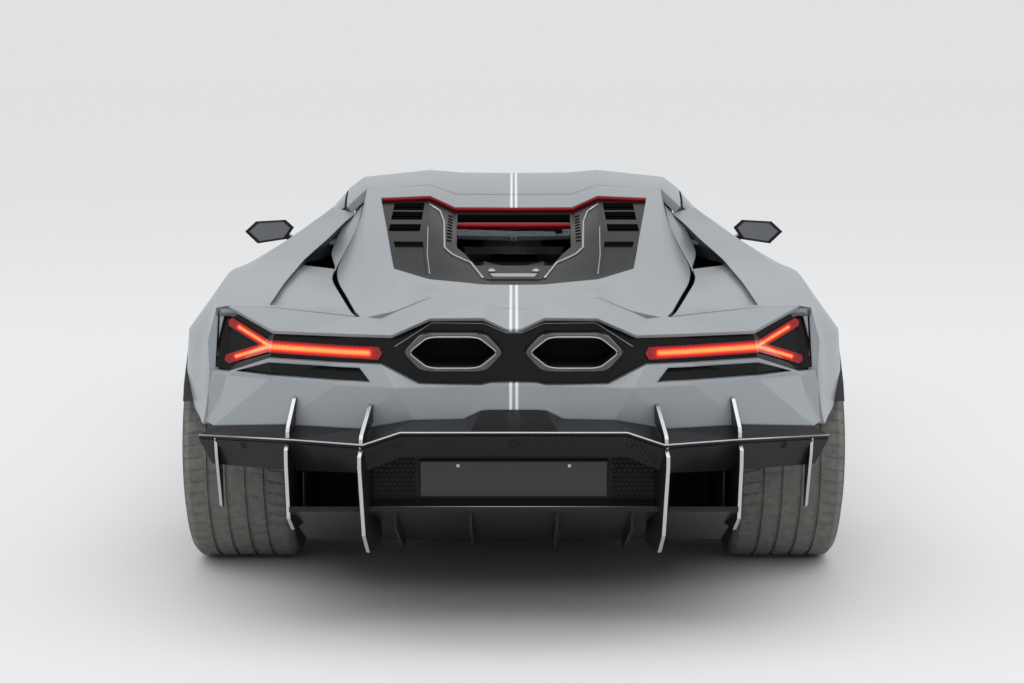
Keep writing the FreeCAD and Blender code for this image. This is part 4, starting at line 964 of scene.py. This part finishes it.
PIPE_X, PIPE_Z = 0.167, 0.797
MOUTH_Y = -2.3405
COLLAR_FOOT = (0.1375, 0.088, 0.0530)
COLLAR_EDGE = (0.1365, 0.087, 0.0520)
COLLAR_STEP = (0.1270, 0.072, 0.0455)
BORE = (0.1225, 0.068, 0.0430)
SECTION = [(COLLAR_FOOT, -2.3345), (COLLAR_EDGE, MOUTH_Y), (COLLAR_STEP, MOUTH_Y),
           (BORE, -2.3365), (BORE, -2.3000), (COLLAR_FOOT, -2.3000)]
collars, ribs, rims = [], [], []
for centre in ((-PIPE_X, PIPE_Z), (PIPE_X, PIPE_Z)):
    loops = [rounded_hexagon(*centre, *size, y) for size, y in SECTION]
    collars.append(skin_between(loops, True))
    for share in (0.25, 0.5, 0.75):
        size = [a + (b - a) * share for a, b in zip(COLLAR_EDGE, COLLAR_STEP)]
        rib = rounded_hexagon(*centre, *size, MOUTH_Y)
        ribs.append(bead_of(rib, 0.0009, 6, closed=True))
    rim = rounded_hexagon(*centre, 0.1235, 0.069, 0.0436, -2.3400)
    rims.append(bead_of(rim, 0.0022, 8, closed=True))
add_piece("exhaust_collars", joined(*collars, *ribs), pipe_steel)
add_piece("exhaust_rims", joined(*rims), steel, smooth=True)

# Lip, fins and diffuser under the tail. The lip is woven carbon with small round parking
# sensors, and a silver bead along its trailing edge is a painted highlight of its glossy edge.
# The fins pass through it, black with silver caps on their rear edges, and a thin silver bead
# along the woven diffuser's rear edge is a painted highlight too.
finned, take, give = effect("capped_fin", {
    "Cap": (0.55, 0.55, 0.56), "Side": (0.010, 0.010, 0.011)},
    ("Colour", "Roughness", "Height", "Metal"))
facing = own_place(finned, "Normal")[1]
flank = maths("GREATER_THAN", maths("ABSOLUTE", facing["X"]), 0.8)
feed(give["Colour"], blend_colour(flank, take["Cap"], take["Side"]))
feed(give["Roughness"], plus(times(flank, 0.15), 0.28))
feed(give["Height"], speckle(own_place(finned)[0], 900.0))
feed(give["Metal"], minus(1.0, flank))
fin_coat = coat_with("capped_fin", finned, {}, bump=0.0001)
nodes = fin_coat.node_tree.nodes
feed(nodes["Principled BSDF"].inputs["Metallic"], nodes["Group"].outputs["Metal"])
dress(fin_coat, "tail_fins")
dress(carbon, "rear_lip", "diffuser")

# A silver bead along the lip's trailing edge: a painted highlight of its glossy edge.
LIP_EDGE = [(0.309, -2.446, 0.593), (0.410, -2.458, 0.561), (0.630, -2.352, 0.556),
            (0.903, -2.152, 0.530)]
right_edge = [(x, y + 0.0015, z) for x, y, z in LIP_EDGE]
left_edge = [(-x, y, z) for x, y, z in reversed(right_edge)]
add_piece("lip_edge_painted_highlight", bead_of(left_edge + right_edge, 0.0022, 8), silver,
          smooth=True)
lip = surface_under("rear_lip")
backwards = Vector((0, -1, 0))
sensors = []
for side in (-1, 1):
    for x, z in ((0.7605, 0.521), (0.316, 0.561)):
        spot = rear_of(lip, side * x, z)
        sensors.append(drum_of(spot - backwards * 0.004, backwards, 0.012, 0.0055, 24, 0.002))
spot = rear_of(lip, 0.001, 0.563)
sensors.append(drum_of(spot - backwards * 0.004, backwards, 0.014, 0.008, 24, 0.003))
sensors.append(drum_of(spot + backwards * 0.003, backwards, 0.008, 0.003, 24, 0.001))
add_piece("parking_sensors", joined(*sensors), gloss_black)
# A thin silver bead along the diffuser's rear edge: a painted highlight.
rear_edge = bead_of([(-0.388, -2.3765, 0.3715), (0.388, -2.3765, 0.3715)], 0.0016, 6)
add_piece("diffuser_edge_painted_highlight", rear_edge, silver, smooth=True)

# Shade sheets: thin powder-coated black sheets that stand on the diffuser, one inboard of each
# rear wheel and one across behind the gearbox. They are painted shade: they close the gaps
# under the tail where the pale floor would show through.
under = surface_under("diffuser")
SHEET_X = 0.592
shade_sheets = []
for side in (-1, 1):
    x = side * SHEET_X
    outline = [top_of(under, x, y, -0.002) for y in (-1.84, -1.89, -2.05, -2.285)]
    outline += [(x, -2.285, 0.50), (x, -2.10, 0.575), (x, -1.84, 0.575)]
    shade_sheets.append(slab_of(outline, (-side * 0.003, 0, 0)))
shade_sheets.append(box_of((-0.590, -1.876, 0.174), (0.590, -1.873, 0.560)))
add_piece("rear_shade_sheets", joined(*shade_sheets), black_powder)

# Plate: a blank black enamelled plate in a thin frame, held by two small screws to the gloss
# black carrier in the bumper's recess.
dress(gloss_black, "plate_carrier")
FRAME_CORNERS = ((-0.262, 0.388), (0.262, 0.388), (0.262, 0.492), (-0.262, 0.492))
plate_frame = bead_of([(x, -2.3315, z) for x, z in FRAME_CORNERS], 0.0022, 6, closed=True)
add_piece("plate_frame", plate_frame, black_powder)
enamel = grained("plate_black_enamel", (0.012, 0.012, 0.013), (0.016, 0.016, 0.017),
                 scale=1100.0, rough=(0.30, 0.42), dust=0.2, coat=0.2)
plate = box_of((-0.2585, -2.3318, 0.3915), (0.2585, -2.3302, 0.4885))
add_piece("blank_plate", plate, enamel)
screws = [drum_of((x, -2.3316, 0.478), backwards, 0.0055, 0.0022, 12, 0.0008)
          for x in (-0.155, 0.155)]
add_piece("plate_screws", joined(*screws), steel)


# Honeycomb: a panel of black moulded mesh on each side of the plate lets the engine bay
# breathe. Each is one moulding of open hexagonal cells.
def honeycomb(x0, x1, z0, z1, y, cell, wall, deep):
    """Open hexagonal cells that fill a rectangle, as ribs of that wall thickness and depth."""
    shapes = []
    across = cell * math.sqrt(3)
    for row in range(int((z1 - z0) / (cell * 1.5))):
        z = z0 + cell + row * cell * 1.5
        shift = across / 2 if row % 2 else 0.0
        for k in range(int((x1 - x0 - shift) / across)):
            x = x0 + across / 2 + shift + k * across
            points, faces = [], []
            for n in range(6):
                cx = x + cell * math.sin(math.pi * n / 3)
                cz = z + cell * math.cos(math.pi * n / 3)
                inner_x = x + (cx - x) * (1 - wall / cell)
                inner_z = z + (cz - z) * (1 - wall / cell)
                points += [(cx, y, cz), (inner_x, y, inner_z), (inner_x, y + deep, inner_z),
                           (cx, y + deep, cz)]
                a, b = 4 * n, 4 * ((n + 1) % 6)
                faces += [(a, a + 1, b + 1, b), (a + 1, a + 2, b + 2, b + 1),
                          (a + 2, a + 3, b + 3, b + 2), (a + 3, a, b, b + 3)]
            shapes.append((points, faces))
    return joined(*shapes)


mesh_panel = honeycomb(0.272, 0.408, 0.376, 0.512, -2.330, 0.0085, 0.0018, 0.009)
add_piece("honeycomb_panels", both_sides([mesh_panel]), gloss_black)

# Headlamps: clear fluted lenses over white Y-shaped daytime lights in black housings. Each
# lamp is bonded into the front bumper.
HUB_X, HUB_Z = 0.650, 0.450
light_guide, take, give = effect("daytime_light", {
    "Lit": (0.95, 0.97, 1.0), "Housing": (0.012, 0.012, 0.013), "Hub X": HUB_X,
    "Hub Z": HUB_Z}, ("Colour", "Lit", "Roughness"))
at = own_place(light_guide)[1]
from_middle = maths("ABSOLUTE", at["X"])
nearest = None
for tip_x, tip_z in ((0.795, 0.455), (0.560, 0.474), (0.565, 0.428)):
    gap = arm_gap(from_middle, at["Z"], take, (tip_x - HUB_X, tip_z - HUB_Z))
    nearest = gap if nearest is None else maths("MINIMUM", nearest, gap)
lit = maths("LESS_THAN", nearest, 0.0045)
fluting = maths("PINGPONG", from_middle, 0.035)
feed(give["Colour"], blend_colour(lit, take["Housing"], take["Lit"]))
feed(give["Lit"], blend_colour(lit, (0.0, 0.0, 0.0), take["Lit"]))
feed(give["Roughness"], plus(0.06, times(fluting, 0.6)))
lamp_lens, shader = new_finish("headlamp_lens")
look = place_effect(shader, light_guide, {})
fill(shader, {
    "Base Color": look["Colour"], "Roughness": look["Roughness"], "Emission Color": look["Lit"],
    "Emission Strength": 1.0, "Coat Weight": 1.0, "Coat Roughness": 0.02})
dress(lamp_lens, "headlamps")

# Door mirrors: gloss black moulded shells on slim arms bolted to the doors. Each holds a mirror
# plate with a black rim, a little inside its rear edge. The plate's dark tone is painted
# reflection of dark surroundings.
mirror_plate = grained("mirror_plate", (0.13, 0.135, 0.145), (0.15, 0.155, 0.165),
                       scale=20.0, rough=(0.02, 0.03), dust=0.0, metallic=1.0)
dress(gloss_black, "mirror_left", "mirror_right")
MIRROR = [(1.132, 0.862), (1.085, 0.905), (0.960, 0.912), (0.925, 0.880), (0.960, 0.830),
          (1.080, 0.812)]
GLASS_SHARE = 0.84
middle_x = sum(x for x, z in MIRROR) / 6
middle_z = sum(z for x, z in MIRROR) / 6
glass_line = [(middle_x + (x - middle_x) * GLASS_SHARE, 0.6385,
               middle_z + (z - middle_z) * GLASS_SHARE) for x, z in MIRROR]
glass = slab_of(glass_line, (0, 0.0030, 0))
rim = bead_of(glass_line, 0.0024, 8, closed=True)
for label, turned in (("left", flipped), ("right", joined)):
    door = "door_" + label
    add_piece("mirror_glass_" + label, turned(glass), mirror_plate, door)
    add_piece("mirror_rim_" + label, turned(rim), black_powder, door)
